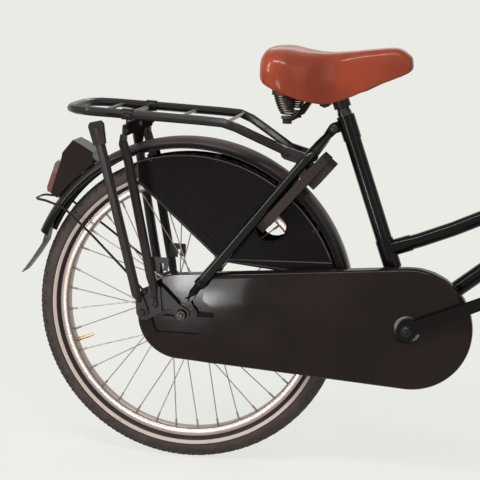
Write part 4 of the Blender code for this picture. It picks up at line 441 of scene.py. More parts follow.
class Tree:
    """A Geometry Nodes tree with named inputs."""

    def __init__(self, name, takes_shape=False):
        self.tree = bpy.data.node_groups.new(name, "GeometryNodeTree")
        self.interface = self.tree.interface
        self.interface.new_socket("Geometry", in_out="OUTPUT", socket_type="NodeSocketGeometry")
        if takes_shape:
            self.interface.new_socket("Geometry", in_out="INPUT", socket_type="NodeSocketGeometry")
        self.start = self.tree.nodes.new("NodeGroupInput")
        self.end = self.tree.nodes.new("NodeGroupOutput")

    def input(self, name, kind, value):
        socket = self.interface.new_socket(name, in_out="INPUT", socket_type=kind)
        socket.default_value = value
        return self.start.outputs[name]

    def node(self, kind, settings, inputs, out=0):
        made = self.tree.nodes.new(kind)
        for name, value in settings.items():
            setattr(made, name, value)
        for name, value in inputs.items():
            for item in value if isinstance(value, list) else [value]:
                if isinstance(item, bpy.types.NodeSocket):
                    self.tree.links.new(item, made.inputs[name])
                else:
                    made.inputs[name].default_value = item
        return made.outputs[out]

    def maths(self, operation, first, second=0.0):
        return self.node("ShaderNodeMath", {"operation": operation}, {0: first, 1: second})

    def vector(self, x=0.0, y=0.0, z=0.0):
        return self.node("ShaderNodeCombineXYZ", {}, {0: x, 1: y, 2: z})

    def joined(self, *shapes):
        return self.node("GeometryNodeJoinGeometry", {}, {"Geometry": list(reversed(shapes))})

    def moved(self, shape, place=(0, 0, 0), turn=(0, 0, 0), scale=(1, 1, 1)):
        change = {"Geometry": shape, "Translation": place, "Rotation": turn, "Scale": scale}
        return self.node("GeometryNodeTransform", {}, change)

    def creased(self, shape, crease):
        """Smooth shading that stops at edges sharper than the crease."""
        bend = self.node("GeometryNodeInputMeshEdgeAngle", {}, {})
        sharp = self.node("FunctionNodeCompare", {"operation": "GREATER_THAN"}, {0: bend, 1: crease})
        smooth = self.node("GeometryNodeSetShadeSmooth", {"domain": "FACE"}, {"Geometry": shape})
        edges = {"Geometry": smooth, "Selection": sharp, "Shade Smooth": False}
        return self.node("GeometryNodeSetShadeSmooth", {"domain": "EDGE"}, edges)

    def finish(self, shape):
        self.tree.links.new(shape, self.end.inputs[0])


# %% Tree that rounds a part's facets
WELD = 0.00001
rounding = Tree("round_the_facets", takes_shape=True)
crease_angle = rounding.input("Crease angle", "NodeSocketFloat", math.radians(40))
flat_normals = {"Geometry": rounding.start.outputs[0], "Name": "custom_normal"}
freed = rounding.node("GeometryNodeRemoveAttribute", {}, flat_normals)
joined_facets = {"Geometry": freed, "Distance": WELD}
welded = rounding.node("GeometryNodeMergeByDistance", {}, joined_facets)
rounding.finish(rounding.creased(welded, crease_angle))


def set_inputs(modifier, values):
    """Sets a tree's inputs by their names."""
    for item in modifier.node_group.interface.items_tree:
        if item.in_out == "INPUT" and item.name in values:
            modifier[item.identifier] = values[item.name]


def dress(node, material, crease=40):
    """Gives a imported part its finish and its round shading."""
    part = frame["nodes"][node]
    part.data.materials.clear()
    part.data.materials.append(material)
    modifier = part.modifiers.new("round", "NODES")
    modifier.node_group = rounding.tree
    set_inputs(modifier, {"Crease angle": math.radians(crease)})


# %% [markdown]
# ## Mesh helpers
# Most of a bicycle is turned or bent, so two helpers do most of the work: one spins a profile round an axis, and
# one sweeps a round section along a line of points. What is neither is a skin over a row of rings, closed by a flat
# face at each end.
# %% From points and faces to an object
DOUBLES = 1e-6


def show(name, mesh):
    piece = bpy.data.objects.new(name, mesh)
    bpy.context.scene.collection.objects.link(piece)
    return piece


def mark_sharp(bm, crease):
    """Leaves every edge smooth that is not sharper than the crease."""
    for edge in bm.edges:
        edge.smooth = len(edge.link_faces) == 2 and edge.calc_face_angle(0) < math.radians(crease)


def add_mesh(name, points, faces, material, crease=40):
    mesh = bpy.data.meshes.new(name)
    mesh.from_pydata([tuple(point) for point in points], [], faces)
    bm = bmesh.new()
    bm.from_mesh(mesh)
    bmesh.ops.remove_doubles(bm, verts=bm.verts, dist=DOUBLES)
    bmesh.ops.recalc_face_normals(bm, faces=bm.faces)
    for face in bm.faces:
        face.smooth = True
    mark_sharp(bm, crease)
    bm.to_mesh(mesh)
    bm.free()
    mesh.materials.append(material)
    return show(name, mesh)


# %% Faces over rings of points
def bands(rings, count, closed=False):
    """Faces between each ring of count points and the next. Closed, the last ring also joins the first."""
    faces = []
    for i in range(rings if closed else rings - 1):
        here = i * count
        there = (i + 1) % rings * count
        for k in range(count):
            n = (k + 1) % count
            faces.append((here + k, here + n, there + n, there + k))
    return faces


def end_faces(rings, count):
    return [tuple(range(count)), tuple(range((rings - 1) * count, rings * count))]


def skin_over(name, rings, material, crease=40):
    """A closed skin over rings with the same number of points."""
    count = len(rings[0])
    points = [spot for ring_points in rings for spot in ring_points]
    return add_mesh(name, points, end_faces(len(rings), count) + bands(len(rings), count), material, crease)


# %% Spin
def lathe(name, profile, centre, axis, steps, material, crease=40):
    """A closed profile of (along, radius) pairs, spun round the axis."""
    axis = axis.normalized()
    side = axis.orthogonal().normalized()
    other = axis.cross(side)
    count = len(profile)
    on_axis = 1e-7
    points = []
    faces = []
    for step in range(steps):
        angle = 2 * math.pi * step / steps
        out = side * math.cos(angle) + other * math.sin(angle)
        points += [centre + axis * along + out * radius for along, radius in profile]
    for step in range(steps):
        here = step * count
        there = (step + 1) % steps * count
        for i in range(count):
            j = (i + 1) % count
            if profile[i][1] > on_axis and profile[j][1] > on_axis:
                faces.append((here + i, here + j, there + j, there + i))
            elif profile[i][1] > on_axis:
                faces.append((here + i, here + j, there + i))
            elif profile[j][1] > on_axis:
                faces.append((here + i, here + j, there + j))
    return add_mesh(name, points, faces, material, crease)


# %% Smooth lines
def between(a, b, c, d, t):
    """A point on the smooth curve from b to c."""
    straight = 2 * b + (c - a) * t
    curved = (2 * a - 5 * b + 4 * c - d) * t**2
    return 0.5 * (straight + curved + (3 * b - a - 3 * c + d) * t**3)


def through(knots, steps):
    """A smooth line through the knots, with the same number of steps in each gap."""
    ends = [knots[0], *knots, knots[-1]]
    line = []
    for a, b, c, d in zip(ends, ends[1:], ends[2:], ends[3:]):
        line += [between(a, b, c, d, i / steps) for i in range(steps)]
    return [*line, knots[-1]]


# %% Sweep
def sweep(name, line, radius, material, sides=12, closed=False, crease=50):
    """A round section carried along a line without twist. The radius is one number, or one for each point."""
    count = len(line)
    radii = radius if isinstance(radius, list) else [radius] * count
    side = (line[1] - line[0]).normalized().orthogonal().normalized()
    points = []
    for i, spot in enumerate(line):
        before = line[i - 1] if closed or i else spot
        after = line[(i + 1) % count] if closed or i < count - 1 else spot
        way = (after - before).normalized()
        side = (side - way * side.dot(way)).normalized()
        up = way.cross(side)
        for k in range(sides):
            angle = 2 * math.pi * k / sides
            points.append(spot + (side * math.cos(angle) + up * math.sin(angle)) * radii[i])
    faces = bands(count, sides, closed)
    if not closed:
        first, last = end_faces(count, sides)
        faces += [first[::-1], last]
    return add_mesh(name, points, faces, material, crease)


# %% Fix to a body, and grow from a tree
def settle(piece, body, nodes=()):
    """Fixes a finished piece to its body and hides the parts that it stands for."""
    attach(piece, body)
    if nodes:
        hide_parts(*nodes)
    return piece


def grow(tree, name, shape, material, crease=40):
    """Ends a tree, evaluates it on an empty mesh and keeps the result as a plain object."""
    real = tree.node("GeometryNodeRealizeInstances", {}, {"Geometry": shape})
    edged = tree.creased(real, math.radians(crease))
    tree.finish(tree.node("GeometryNodeSetMaterial", {}, {"Geometry": edged, "Material": material}))
    holder = show(name + "_seed", bpy.data.meshes.new(name + "_seed"))
    modifier = holder.modifiers.new("grow", "NODES")
    modifier.node_group = tree.tree
    graph = bpy.context.evaluated_depsgraph_get()
    mesh = bpy.data.meshes.new_from_object(holder.evaluated_get(graph))
    bpy.data.objects.remove(holder)
    mesh.name = name
    print(name, "has", len(mesh.polygons), "faces")
    return show(name, mesh)


# %% [markdown]
# ## Wheels
# A wheel is three turned pieces: the tyre, the rim and the hub shell. The tread blocks, the spokes and the nipples
# repeat round the axle, so a tree makes each once and instances it on a ring of points.
# %% Tyre, rim and hub shell profiles
# Each point: distance from the middle plane, distance from the axle
TYRE_HALF = [(0.0, 0.2742), (0.0055, 0.2738), (0.0105, 0.2725), (0.0145, 0.2703), (0.0180, 0.2672)]
TYRE_HALF += [(0.0207, 0.2636), (0.0225, 0.2595), (0.0233, 0.2550), (0.0231, 0.2512), (0.0217, 0.2470)]
TYRE_HALF += [(0.0192, 0.2432), (0.0162, 0.2398), (0.0140, 0.2374), (0.0128, 0.2360), (0.0100, 0.2300)]
RIM_HALF = [(0.0, RIM_INNER), (0.0060, RIM_INNER), (0.0105, 0.2228), (0.0137, 0.2243), (0.0149, 0.2266)]
RIM_HALF += [(0.0150, 0.2356), (0.0147, 0.2363), (0.0137, 0.2364), (0.0133, 0.2358), (0.0133, 0.2300)]
RIM_HALF += [(0.0, 0.2290)]
REAR_HUB_HALF = [(0.0, 0.0240), (0.0200, 0.0240), (0.0238, 0.0252), (0.0250, 0.0340), (0.0256, 0.0345)]
REAR_HUB_HALF += [(0.0286, 0.0345), (0.0292, 0.0338), (0.0296, 0.0250), (0.0330, 0.0215), (0.0340, 0.0205)]
REAR_HUB_HALF += [(0.0340, 0.0108), (0.0, 0.0108)]
FRONT_HUB_HALF = [(0.0, 0.0130), (0.0280, 0.0130), (0.0298, 0.0150), (0.0302, 0.0215), (0.0306, 0.0220)]
FRONT_HUB_HALF += [(0.0336, 0.0220), (0.0341, 0.0214), (0.0345, 0.0160), (0.0380, 0.0135)]
FRONT_HUB_HALF += [(0.0380, 0.0108), (0.0, 0.0108)]
TURNED_STEPS = 160
HUB_STEPS = 48


def both_sides(half):
    """A profile with its mirror image, as one closed loop."""
    return half + [(-along, radius) for along, radius in reversed(half) if along > 0]


# %% A tree that lays tread blocks round a tyre
TREAD_BLOCKS = 92
BLOCK_SIZE = (0.0098, 0.0050, 0.0032)
BLOCK_TWIST = math.radians(18)
# Each row: distance from the middle, distance from the axle, tilt in degrees, shift in blocks
TREAD_ROWS = [(0.0, 0.2738, 0, 0.0), (0.0068, 0.2731, -14, 0.5), (-0.0068, 0.2731, 14, 0.5)]
TREAD_ROWS += [(0.0132, 0.2706, -34, 0.0), (-0.0132, 0.2706, 34, 0.0)]
TREAD_ROWS += [(0.0184, 0.2662, -54, 0.5), (-0.0184, 0.2662, 54, 0.5)]


def ring(tree, shape, count, phase=0.0):
    """The shape turned round the Y axis, once for each of count points."""
    points = tree.node("GeometryNodePoints", {}, {"Count": count})
    index = tree.node("GeometryNodeInputIndex", {}, {})
    step = tree.maths("DIVIDE", math.tau, count)
    turn = tree.maths("ADD", tree.maths("MULTIPLY", index, step), phase)
    spin = tree.node("FunctionNodeEulerToRotation", {}, {"Euler": tree.vector(0.0, turn, 0.0)})
    copies = {"Points": points, "Instance": shape, "Rotation": spin}
    return tree.node("GeometryNodeInstanceOnPoints", {}, copies)


def tread(name, centre, material):
    tree = Tree(name)
    count = tree.input("Blocks in a row", "NodeSocketInt", TREAD_BLOCKS)
    length = tree.input("Block length", "NodeSocketFloat", BLOCK_SIZE[0])
    rows = []
    for y, radius, tilt, phase in TREAD_ROWS:
        size = tree.vector(length, BLOCK_SIZE[1], BLOCK_SIZE[2])
        block = tree.node("GeometryNodeMeshCube", {}, {"Size": size})
        twist = math.copysign(BLOCK_TWIST, y) if y else 0
        turned = tree.moved(block, (0, y, radius), (math.radians(tilt), 0, twist))
        rows.append(ring(tree, turned, count, phase * math.tau / TREAD_BLOCKS))
    return grow(tree, name, tree.moved(tree.joined(*rows), centre), material)


# %% A tree that laces a wheel
SPOKES = 36
SPOKE_SET = 9
SPOKE_PHASE = math.radians(5.2)
SPOKE_LEAN = math.radians(52)
SPOKE_END = 0.2226
NIPPLE_LENGTH = 0.0125
HEAD_OUT = 0.0012
HEAD_ACROSS = 0.0032


def tube(tree, start, end, radius, sides=8):
    line = tree.node("GeometryNodeCurvePrimitiveLine", {}, {"Start": start, "End": end})
    circle = tree.node("GeometryNodeCurvePrimitiveCircle", {}, {"Resolution": sides, "Radius": radius})
    path = {"Curve": line, "Profile Curve": circle, "Fill Caps": True}
    return tree.node("GeometryNodeCurveToMesh", {}, path)


def spokes(name, centre, flange_y, flange_r, material):
    """Four sets of nine spokes. Two sets lean each way, and neighbours use opposite flanges."""
    tree = Tree(name)
    thick = tree.input("Spoke radius", "NodeSocketFloat", 0.0010)
    nipple = tree.input("Nipple radius", "NodeSocketFloat", 0.0019)
    shapes = []
    for k in range(4):
        side = 1 if k % 2 else -1
        lean = 1 if k < 2 else -1
        at_rim = SPOKE_PHASE + math.tau * k / SPOKES
        at_hub = at_rim + SPOKE_LEAN * lean
        beside = side * flange_y + HEAD_ACROSS / 2 * lean
        inner = Vector((math.cos(at_hub) * flange_r, beside, math.sin(at_hub) * flange_r))
        outer = Vector((math.cos(at_rim) * SPOKE_END, side * 0.003, math.sin(at_rim) * SPOKE_END))
        way = (outer - inner).normalized()
        head = inner - way * HEAD_OUT - ALONG_Y * HEAD_ACROSS * side * lean
        shapes.append(tube(tree, inner, outer, thick))
        shapes.append(tube(tree, head, inner, thick))
        shapes.append(tube(tree, outer - way * NIPPLE_LENGTH, outer, nipple))
    laced = ring(tree, tree.joined(*shapes), SPOKE_SET)
    return grow(tree, name, tree.moved(laced, centre), material)


# %% Both wheels
VALVE_ANGLE = SPOKE_PHASE + math.radians(195)
VALVE_FOOT = 0.2225
VALVE_STEM = [(0.0, 0.0), (0.0, 0.0030), (0.0030, 0.0038), (0.0080, 0.0038), (0.0090, 0.0029), (0.0240, 0.0029)]
VALVE_STEM += [(0.0245, 0.0022), (0.0320, 0.0022), (0.0325, 0.0), (0.0100, 0.0)]


def wheel(end, centre, hub_half, hub_metal, flange_y, flange_r):
    body = end + "_wheel"
    rubber = tyre_rubber(end + "_tyre_rubber", centre)
    metal = polished_ring(end + "_rim_metal", centre)
    shell = lathe(end + "_tyre_shell", both_sides(TYRE_HALF), centre, ALONG_Y, TURNED_STEPS, rubber)
    settle(shell, body, [end + "_tyre"])
    settle(tread(end + "_tread", centre, rubber), body)
    band = lathe(end + "_rim_band", both_sides(RIM_HALF), centre, ALONG_Y, TURNED_STEPS, metal)
    settle(band, body, [end + "_rim"])
    barrel = lathe(end + "_hub_shell", both_sides(hub_half), centre, ALONG_Y, HUB_STEPS, hub_metal)
    settle(barrel, body, [end + "_hub_and_spokes"])
    laced = spokes(end + "_spokes", centre, flange_y, flange_r, SPOKE_STEEL)
    settle(laced, body)
    out = Vector((math.cos(VALVE_ANGLE), 0, math.sin(VALVE_ANGLE)))
    valve = lathe(end + "_valve", VALVE_STEM, centre + out * VALVE_FOOT, -out, 12, BRASS)
    settle(valve, body)


wheel("rear", REAR, REAR_HUB_HALF, DARK_STEEL, flange_y=0.0270, flange_r=0.0310)
wheel("front", FRONT, FRONT_HUB_HALF, ZINC, flange_y=0.0320, flange_r=0.0185)

# %% [markdown]
# ## Mudguards
# A mudguard is one rounded section carried along an arc. Its edges are rolled inward, which stiffens the sheet and
# gives it the fine bright line that runs along each side.
# %% Mudguard section
FENDER_RADIUS = 0.2985
FENDER_HALF = 0.0288
FENDER_DEPTH = 0.0178
FENDER_SHEET = 0.0011
FENDER_INNER_SHARE = 0.955
ROLL = 0.0012
ROLL_DEPTH = 0.0182
SQUARENESS = 0.8


def fender_section():
    """Across the sheet: the outer face from one rolled edge to the other, then the inner face back."""
    outer = []
    for i in range(21):
        turn = math.pi * (i / 20)
        side = math.copysign(abs(math.cos(turn)) ** SQUARENESS, math.cos(turn))
        outer.append((FENDER_HALF * side, -FENDER_DEPTH * (1 - math.sin(turn) ** SQUARENESS)))
    turns = [math.radians(90 - 45 * k) for k in range(7)]
    roll = [(FENDER_HALF + ROLL * math.cos(turn), -ROLL_DEPTH + ROLL * math.sin(turn)) for turn in turns]
    other = [(-y, depth) for y, depth in roll]
    inner = [(y * FENDER_INNER_SHARE, depth - FENDER_SHEET) for y, depth in reversed(outer[1:-1])]
    return roll[::-1] + outer[1:-1] + other + inner


# %% Mudguards
def sheet_arc(name, centre, span, material, steps=120):
    section = fender_section()
    points = []
    for i in range(steps + 1):
        turn = math.radians(span[0] + (span[1] - span[0]) * i / steps)
        out = Vector((math.cos(turn), 0, math.sin(turn)))
        points += [centre + out * (FENDER_RADIUS + depth) + ALONG_Y * y for y, depth in section]
    faces = bands(steps + 1, len(section)) + end_faces(steps + 1, len(section))
    return add_mesh(name, points, faces, material, 60)


rear_sheet = sheet_arc("rear_mudguard", REAR + Vector((-0.002, 0, 0.0085)), (4, 157), TOP_SHEEN)
settle(rear_sheet, "frame", ["rear_fender"])
front_sheet = sheet_arc("front_mudguard", FRONT + Vector((0, 0, 0.004)), (30, 190), TOP_SHEEN)
settle(front_sheet, "steering", ["front_fender"])
print("mudguards:", len(rear_sheet.data.polygons) + len(front_sheet.data.polygons), "faces")

# %% [markdown]
# ## Saddle
# The cover is drawn over a foam pad. A few stations give its half width, crown and skirt, and a smooth curve runs
# through them, so the sides draw in at the waist and swell again at the tail.
# %% Saddle measures
POST_TOP = Vector((-0.20660, 0, 0.66603))
# Each station: place along the saddle, half width, height of the crown, height of the skirt
STATIONS = [(0.1246, 0.0085, 0.0600, 0.0545), (0.1231, 0.0140, 0.0680, 0.0495), (0.1181, 0.0190, 0.0745, 0.0440)]
STATIONS += [(0.0981, 0.0243, 0.0850, 0.0345), (0.0581, 0.0268, 0.0818, 0.0172), (0.0201, 0.0312, 0.0768, -0.0012)]
STATIONS += [(-0.0179, 0.0470, 0.0738, -0.0125), (-0.0519, 0.0718, 0.0765, -0.0070)]
STATIONS += [(-0.0869, 0.0860, 0.0822, 0.0040), (-0.1164, 0.0790, 0.0790, 0.0165)]
STATIONS += [(-0.1275, 0.0640, 0.0690, 0.0245), (-0.1312, 0.0480, 0.0600, 0.0310)]
# The foam's underside: place along the saddle, height
PAN = [(-0.1312, 0.0420), (-0.1180, 0.0200), (-0.0919, 0.0120), (-0.0569, 0.0135), (-0.0219, 0.0200)]
PAN += [(0.0181, 0.0300), (0.0581, 0.0390), (0.0981, 0.0445), (0.1181, 0.0475), (0.1246, 0.0520)]
# From the skirt to the crown: share of the half width, share of the height
ACROSS = [(0.93, 0.0), (0.965, 0.03), (0.99, 0.14), (1.0, 0.40), (0.96, 0.64), (0.82, 0.85)]
ACROSS += [(0.56, 0.962), (0.24, 0.995), (0.0, 1.0)]
FOLD_FROM = -0.035
FOLD_DEPTH = 0.016
FOAM_INSET = 0.0035
HEM_INSET = 0.0012


# %% Saddle cover
def level(table, x):
    """A height between the rows of a table of (place, height)."""
    for (x0, z0), (x1, z1) in zip(table, table[1:]):
        if x <= x1:
            return z0 + (z1 - z0) * max(0.0, (x - x0) / (x1 - x0))
    return table[-1][1]


def folded(x, share):
    """The share of the half width that the folds in the tail's skirt leave at one place."""
    tuck = max(0.0, 1 - share.y / 0.36) * min(1.0, max(0.0, (FOLD_FROM - x) / 0.04))
    return 1 - FOLD_DEPTH * tuck * (0.5 + 0.5 * math.sin(x * 900 + share.y * 9)) ** 2


def saddle_cover():
    half_ring = through([Vector((side, rise, 0)) for side, rise in ACROSS], 4)
    rings = []
    for x, half, crown, skirt in through([Vector(station) for station in STATIONS], 7):
        left = [(half * at.x * folded(x, at), skirt + (crown - skirt) * at.y) for at in half_ring]
        right = [(-y, z) for y, z in left]
        edge = (half * 0.90, skirt + HEM_INSET)
        foam = (edge[0] * 0.95, max(skirt + FOAM_INSET, level(PAN, x)))
        under = [edge, foam, (0, foam[1]), (-foam[0], foam[1]), (-edge[0], edge[1])]
        section = right + left[-2::-1] + under
        rings.append([POST_TOP + Vector((x, y, z)) for y, z in section])
    return skin_over("saddle_skin", rings, LEATHER, 55)


skin = saddle_cover()
settle(skin, "saddle", ["saddle_cover"])
print("saddle cover:", len(skin.data.polygons), "faces")

# %% [markdown]
# ## Saddle springs
# A coil is a round wire on a helix. It starts narrow at the bottom and opens towards the top, and its two ends run
# straight into the parts that hold it.
# %% Coils
SPRING_FOOT = POST_TOP + Vector((-0.0803, 0.055, -0.0345))
SPRING_AXIS = Vector((-0.0066, 0, 0.046))
COIL_TURNS = 10
COIL_STEPS = 26
COIL_NARROW = 0.0085
COIL_SWELL = 0.0093
COIL_WIRE = 0.0016
COIL_INSET = 0.0034
COIL_TAIL = Vector((0, 0, 0.0030))


def coil(side):
    count = COIL_TURNS * COIL_STEPS
    line = []
    for i in range(count + 1):
        share = i / count
        swell = math.sin(math.pi * min(share * 1.08, 1) * 0.5) ** 0.7
        radius = COIL_NARROW + COIL_SWELL * swell
        turn = math.tau * i / COIL_STEPS
        rise = COIL_INSET + (SPRING_AXIS.length - 2 * COIL_INSET) * share
        spot = SPRING_FOOT + SPRING_AXIS * (rise / SPRING_AXIS.length)
        line.append(spot + Vector((radius * math.cos(turn), radius * math.sin(turn), 0)))
    line = [line[0] - COIL_TAIL, *line, line[-1] + COIL_TAIL]
    return [Vector((spot.x, spot.y * side, spot.z)) for spot in line]


SPRING_STEEL = plated("spring_steel", (0.060, 0.043, 0.036), roughness=0.32, cloud=0.25)
for side, label in SIDES:
    wire = sweep("spring_coil_" + label, coil(side), COIL_WIRE, SPRING_STEEL, 10)
    settle(wire, "saddle", ["saddle_spring_" + label])
    print("coil:", len(wire.data.polygons), "faces")

# %% [markdown]
# ## Chain case
# The case is a moulded pan. Its outline runs round two circles, and a short profile carries that outline from the
# face, over the rounded edge, to the lip and back inside. Booleans then cut the crank hole and the notch for the
# track end, and a thin tray closes the pan behind that notch.
# %% Flat outlines
CASE_REAR, CASE_REAR_RADIUS = (-0.006, -0.0075), 0.0765
CASE_FRONT, CASE_FRONT_RADIUS = (0.398, 0.0), 0.1065


def arc(centre, radius, start, end, steps):
    turns = [math.radians(start + (end - start) * i / steps) for i in range(steps + 1)]
    return [(centre[0] + radius * math.cos(turn), centre[1] + radius * math.sin(turn)) for turn in turns]


def case_outline(inset):
    """The line round both circles of the case, moved inwards by the inset."""
    small, large = CASE_REAR_RADIUS - inset, CASE_FRONT_RADIUS - inset
    along, up = CASE_FRONT[0] - CASE_REAR[0], CASE_FRONT[1] - CASE_REAR[1]
    heading = math.degrees(math.atan2(up, along))
    lean = math.degrees(math.acos((small - large) / math.hypot(along, up)))
    far = arc(CASE_FRONT, large, heading - lean, heading + lean, 72)
    return far + arc(CASE_REAR, small, heading + lean, heading + 360 - lean, 60)


def plate(name, outline, low, high, material):
    """A flat outline given a thickness along Y, measured from the rear axle."""
    rings = [[REAR + Vector((x, y, z)) for x, z in outline] for y in (low, high)]
    return skin_over(name, rings, material)


def mirrored_plate(name, side, outline, material, inner, outer):
    """A plate on one side of the bicycle, between two distances from the middle plane."""
    return plate(name, outline, *sorted((inner * side, outer * side)), material)


# %% Boolean cuts
def cut(piece, cutters, crease=35):
    """Takes the cutters out of a piece and keeps the result as a plain mesh."""
    for cutter in cutters:
        modifier = piece.modifiers.new("cut", "BOOLEAN")
        modifier.operation = "DIFFERENCE"
        modifier.solver = "EXACT"
        modifier.object = cutter
    graph = bpy.context.evaluated_depsgraph_get()
    mesh = bpy.data.meshes.new_from_object(piece.evaluated_get(graph))
    for item in [piece, *cutters]:
        bpy.data.objects.remove(item)
    bm = bmesh.new()
    bm.from_mesh(mesh)
    mark_sharp(bm, crease)
    bm.to_mesh(mesh)
    bm.free()
    return show(mesh.name, mesh)


# %% The pan
# Each row: inset of the outline, distance from the middle plane
EDGE = [(0.0075, -0.0595), (0.0040, -0.0586), (0.0016, -0.0568), (0.0004, -0.0540), (0.0, -0.0500)]
EDGE += [(0.0, -0.0440), (0.0008, -0.0436), (0.0008, -0.0426), (0.0, -0.0422), (0.0, -0.0385)]
EDGE_INSIDE = [(0.0014, -0.0385), (0.0014, -0.0535), (0.0032, -0.0565), (0.0075, -0.0581)]
FACE_SHARES = (1, 0.85, 0.7, 0.55, 0.4, 0.25, 0.12)
CROWN = [(0.0075 + 0.0525 * t, -0.0595 - 0.0024 * (1 - (1 - t) ** 2)) for t in FACE_SHARES]
CASE_PROFILE = [*CROWN, *EDGE, *EDGE_INSIDE, (0.060, -0.0604)]
PAN_RINGS = [[REAR + Vector((x, depth, z)) for x, z in case_outline(inset)] for inset, depth in CASE_PROFILE]
HUB_SPOT = (BRACKET.x - REAR.x, BRACKET.z - REAR.z)
CRANK_HOLE = 0.0235
NOTCH = [(-0.060, 0.0), (-0.048, -0.0355), (0.028, -0.0355), (0.056, -0.008), (0.056, 0.012), (0.036, 0.026)]
NOTCH += [(0.036, 0.12), (-0.060, 0.12)]

crank_hole = plate("hole", arc(HUB_SPOT, CRANK_HOLE, 0, 354, 59), -0.1, 0.0, CASE_PLASTIC)
notch_cutter = plate("notch", NOTCH, -0.1, -0.0562, CASE_PLASTIC)
pan = cut(skin_over("chain_case_pan", PAN_RINGS, CASE_PLASTIC, 35), [crank_hole, notch_cutter])
settle(pan, "frame", ["chain_case_cover"])
print("chain case pan:", len(pan.data.polygons), "faces")

# %% The tray behind the notch, and the bead round the crank hole
TRAY_END = 0.060
TRAY_STEP = 0.0052
TRAY_INSET = 0.0016
AXLE_HOLE = 0.0130
BEAD_GAP = 0.0012
rear_end = [(x, z) for x, z in case_outline(TRAY_INSET) if x <= TRAY_END]
tray_outline = [*rear_end, (TRAY_END, rear_end[-1][1] - TRAY_STEP), (TRAY_END, rear_end[0][1] + TRAY_STEP)]
axle_hole = plate("axle_hole", arc((0, 0), AXLE_HOLE, 0, 350, 35), -0.1, 0.0, CASE_PLASTIC)
tray = cut(plate("chain_case_recess", tray_outline, -0.0558, -0.0548, CASE_PLASTIC), [axle_hole])
settle(tray, "frame")
bead_line = [REAR + Vector((x, -0.0612, z)) for x, z in arc(HUB_SPOT, CRANK_HOLE + BEAD_GAP, 0, 355, 71)]
settle(sweep("crank_hole_bead", bead_line, 0.0010, VINYL, 8, True), "frame")
print("tray behind the notch:", len(tray.data.polygons), "faces")

# %% [markdown]
# ## Coat guard edges
# A coat guard is a vinyl panel with a welded bead round it, a hem along its foot and a finished edge at the lock
# hole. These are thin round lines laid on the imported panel.
# %% Beads on the guards
GUARD_FACE = 0.0319
GUARD_RADIUS = 0.2758
LOCK_HOLE, LOCK_HOLE_RADIUS = (0.1458, 0.1615), 0.0293
EDGE_BEAD, HOLE_BEAD, HEM_SEAM, HEM_BAR = 0.0013, 0.0014, 0.0007, 0.0031
GUARD_EDGE = arc((0, 0), GUARD_RADIUS, 21.8, 110.2, 60) + [(-0.0912, 0.2267), (0.0502, 0.1050), (0.0634, 0.0962)]
HOLE_EDGE = arc(LOCK_HOLE, LOCK_HOLE_RADIUS, 0, 354, 59)
HEM = [(-0.0800, 0.2370), (0.0560, 0.1190)]


def guard_line(name, side, outline, radius, material, sides=8, closed=False, stand=0.0):
    """A round line on the outer face of one guard."""
    line = [REAR + Vector((x, side * (GUARD_FACE + stand), z)) for x, z in outline]
    settle(sweep(name, line, radius, material, sides, closed), "frame")


PIPING = plain_rubber("guard_piping", (0.0300, 0.0225, 0.0190), roughness=0.55)
for side, label in SIDES:
    guard_line("guard_bead_" + label, side, GUARD_EDGE, EDGE_BEAD, PIPING, closed=True)
    guard_line("guard_hole_bead_" + label, side, HOLE_EDGE, HOLE_BEAD, VINYL, closed=True)
    guard_line("guard_hem_" + label, side, HEM, HEM_SEAM, VINYL)
print("points on a guard's edge:", len(GUARD_EDGE))

# %% [markdown]
# ## Hem of the coat guards
# Each coat guard ends in a stiff hem: a round bar in a pocket of vinyl. It follows the foot of the panel down to the
# chain case, so a narrow wedge of panel closes the corner between the panel and the hem.
# %% Hem and wedge
HEM_LINE = [(-0.0925, 0.2270), (-0.0450, 0.1860), (0.0050, 0.1425), (0.0500, 0.1035), (0.0570, 0.0985)]
HEM_LINE += [(0.0660, 0.0945), (0.1300, 0.0885), (0.2000, 0.0825), (0.2655, 0.0765)]
WEDGE = [(0.0500, 0.1060), (0.0640, 0.0935), (0.2655, 0.0755), (0.2577, 0.1030)]

for side, label in SIDES:
    guard_line("guard_hem_bar_" + label, side, HEM_LINE, HEM_BAR, SHEEN, sides=12, stand=-0.0006)
    corner = mirrored_plate("guard_corner_" + label, side, WEDGE, VINYL, inner=0.0303, outer=GUARD_FACE)
    settle(corner, "frame")

# %% [markdown]
# ## Seat stay tubes
# The bolted seat stays are the brightest line in the photo. A smooth tube, drawn in towards both ends and closed by a
# collar above the axle, is laid over each packed stay.
# %% Smooth stays
STAY_TOP = Vector((-0.2121, 0, 0.6094))
STAY_FOOT = REAR + Vector((0.007, 0, 0.0255))
STAY_WAY = (STAY_FOOT - STAY_TOP).normalized()
# Each knot: distance down the stay, distance from the middle plane, radius
STAY = [(0.014, 0.0105, 0.0060), (0.030, 0.0200, 0.0080), (0.048, 0.0310, 0.0089), (0.066, 0.0400, 0.0092)]
STAY += [(0.110, 0.0440, 0.0093), (0.220, 0.0560, 0.0093), (0.320, 0.0674, 0.0093), (0.352, 0.0716, 0.0093)]
COLLAR = [(-0.0120, 0.0080), (-0.0120, 0.0098), (-0.0110, 0.0105), (-0.0015, 0.0105), (0.0, 0.0100)]
COLLAR += [(0.0006, 0.0), (-0.0060, 0.0)]

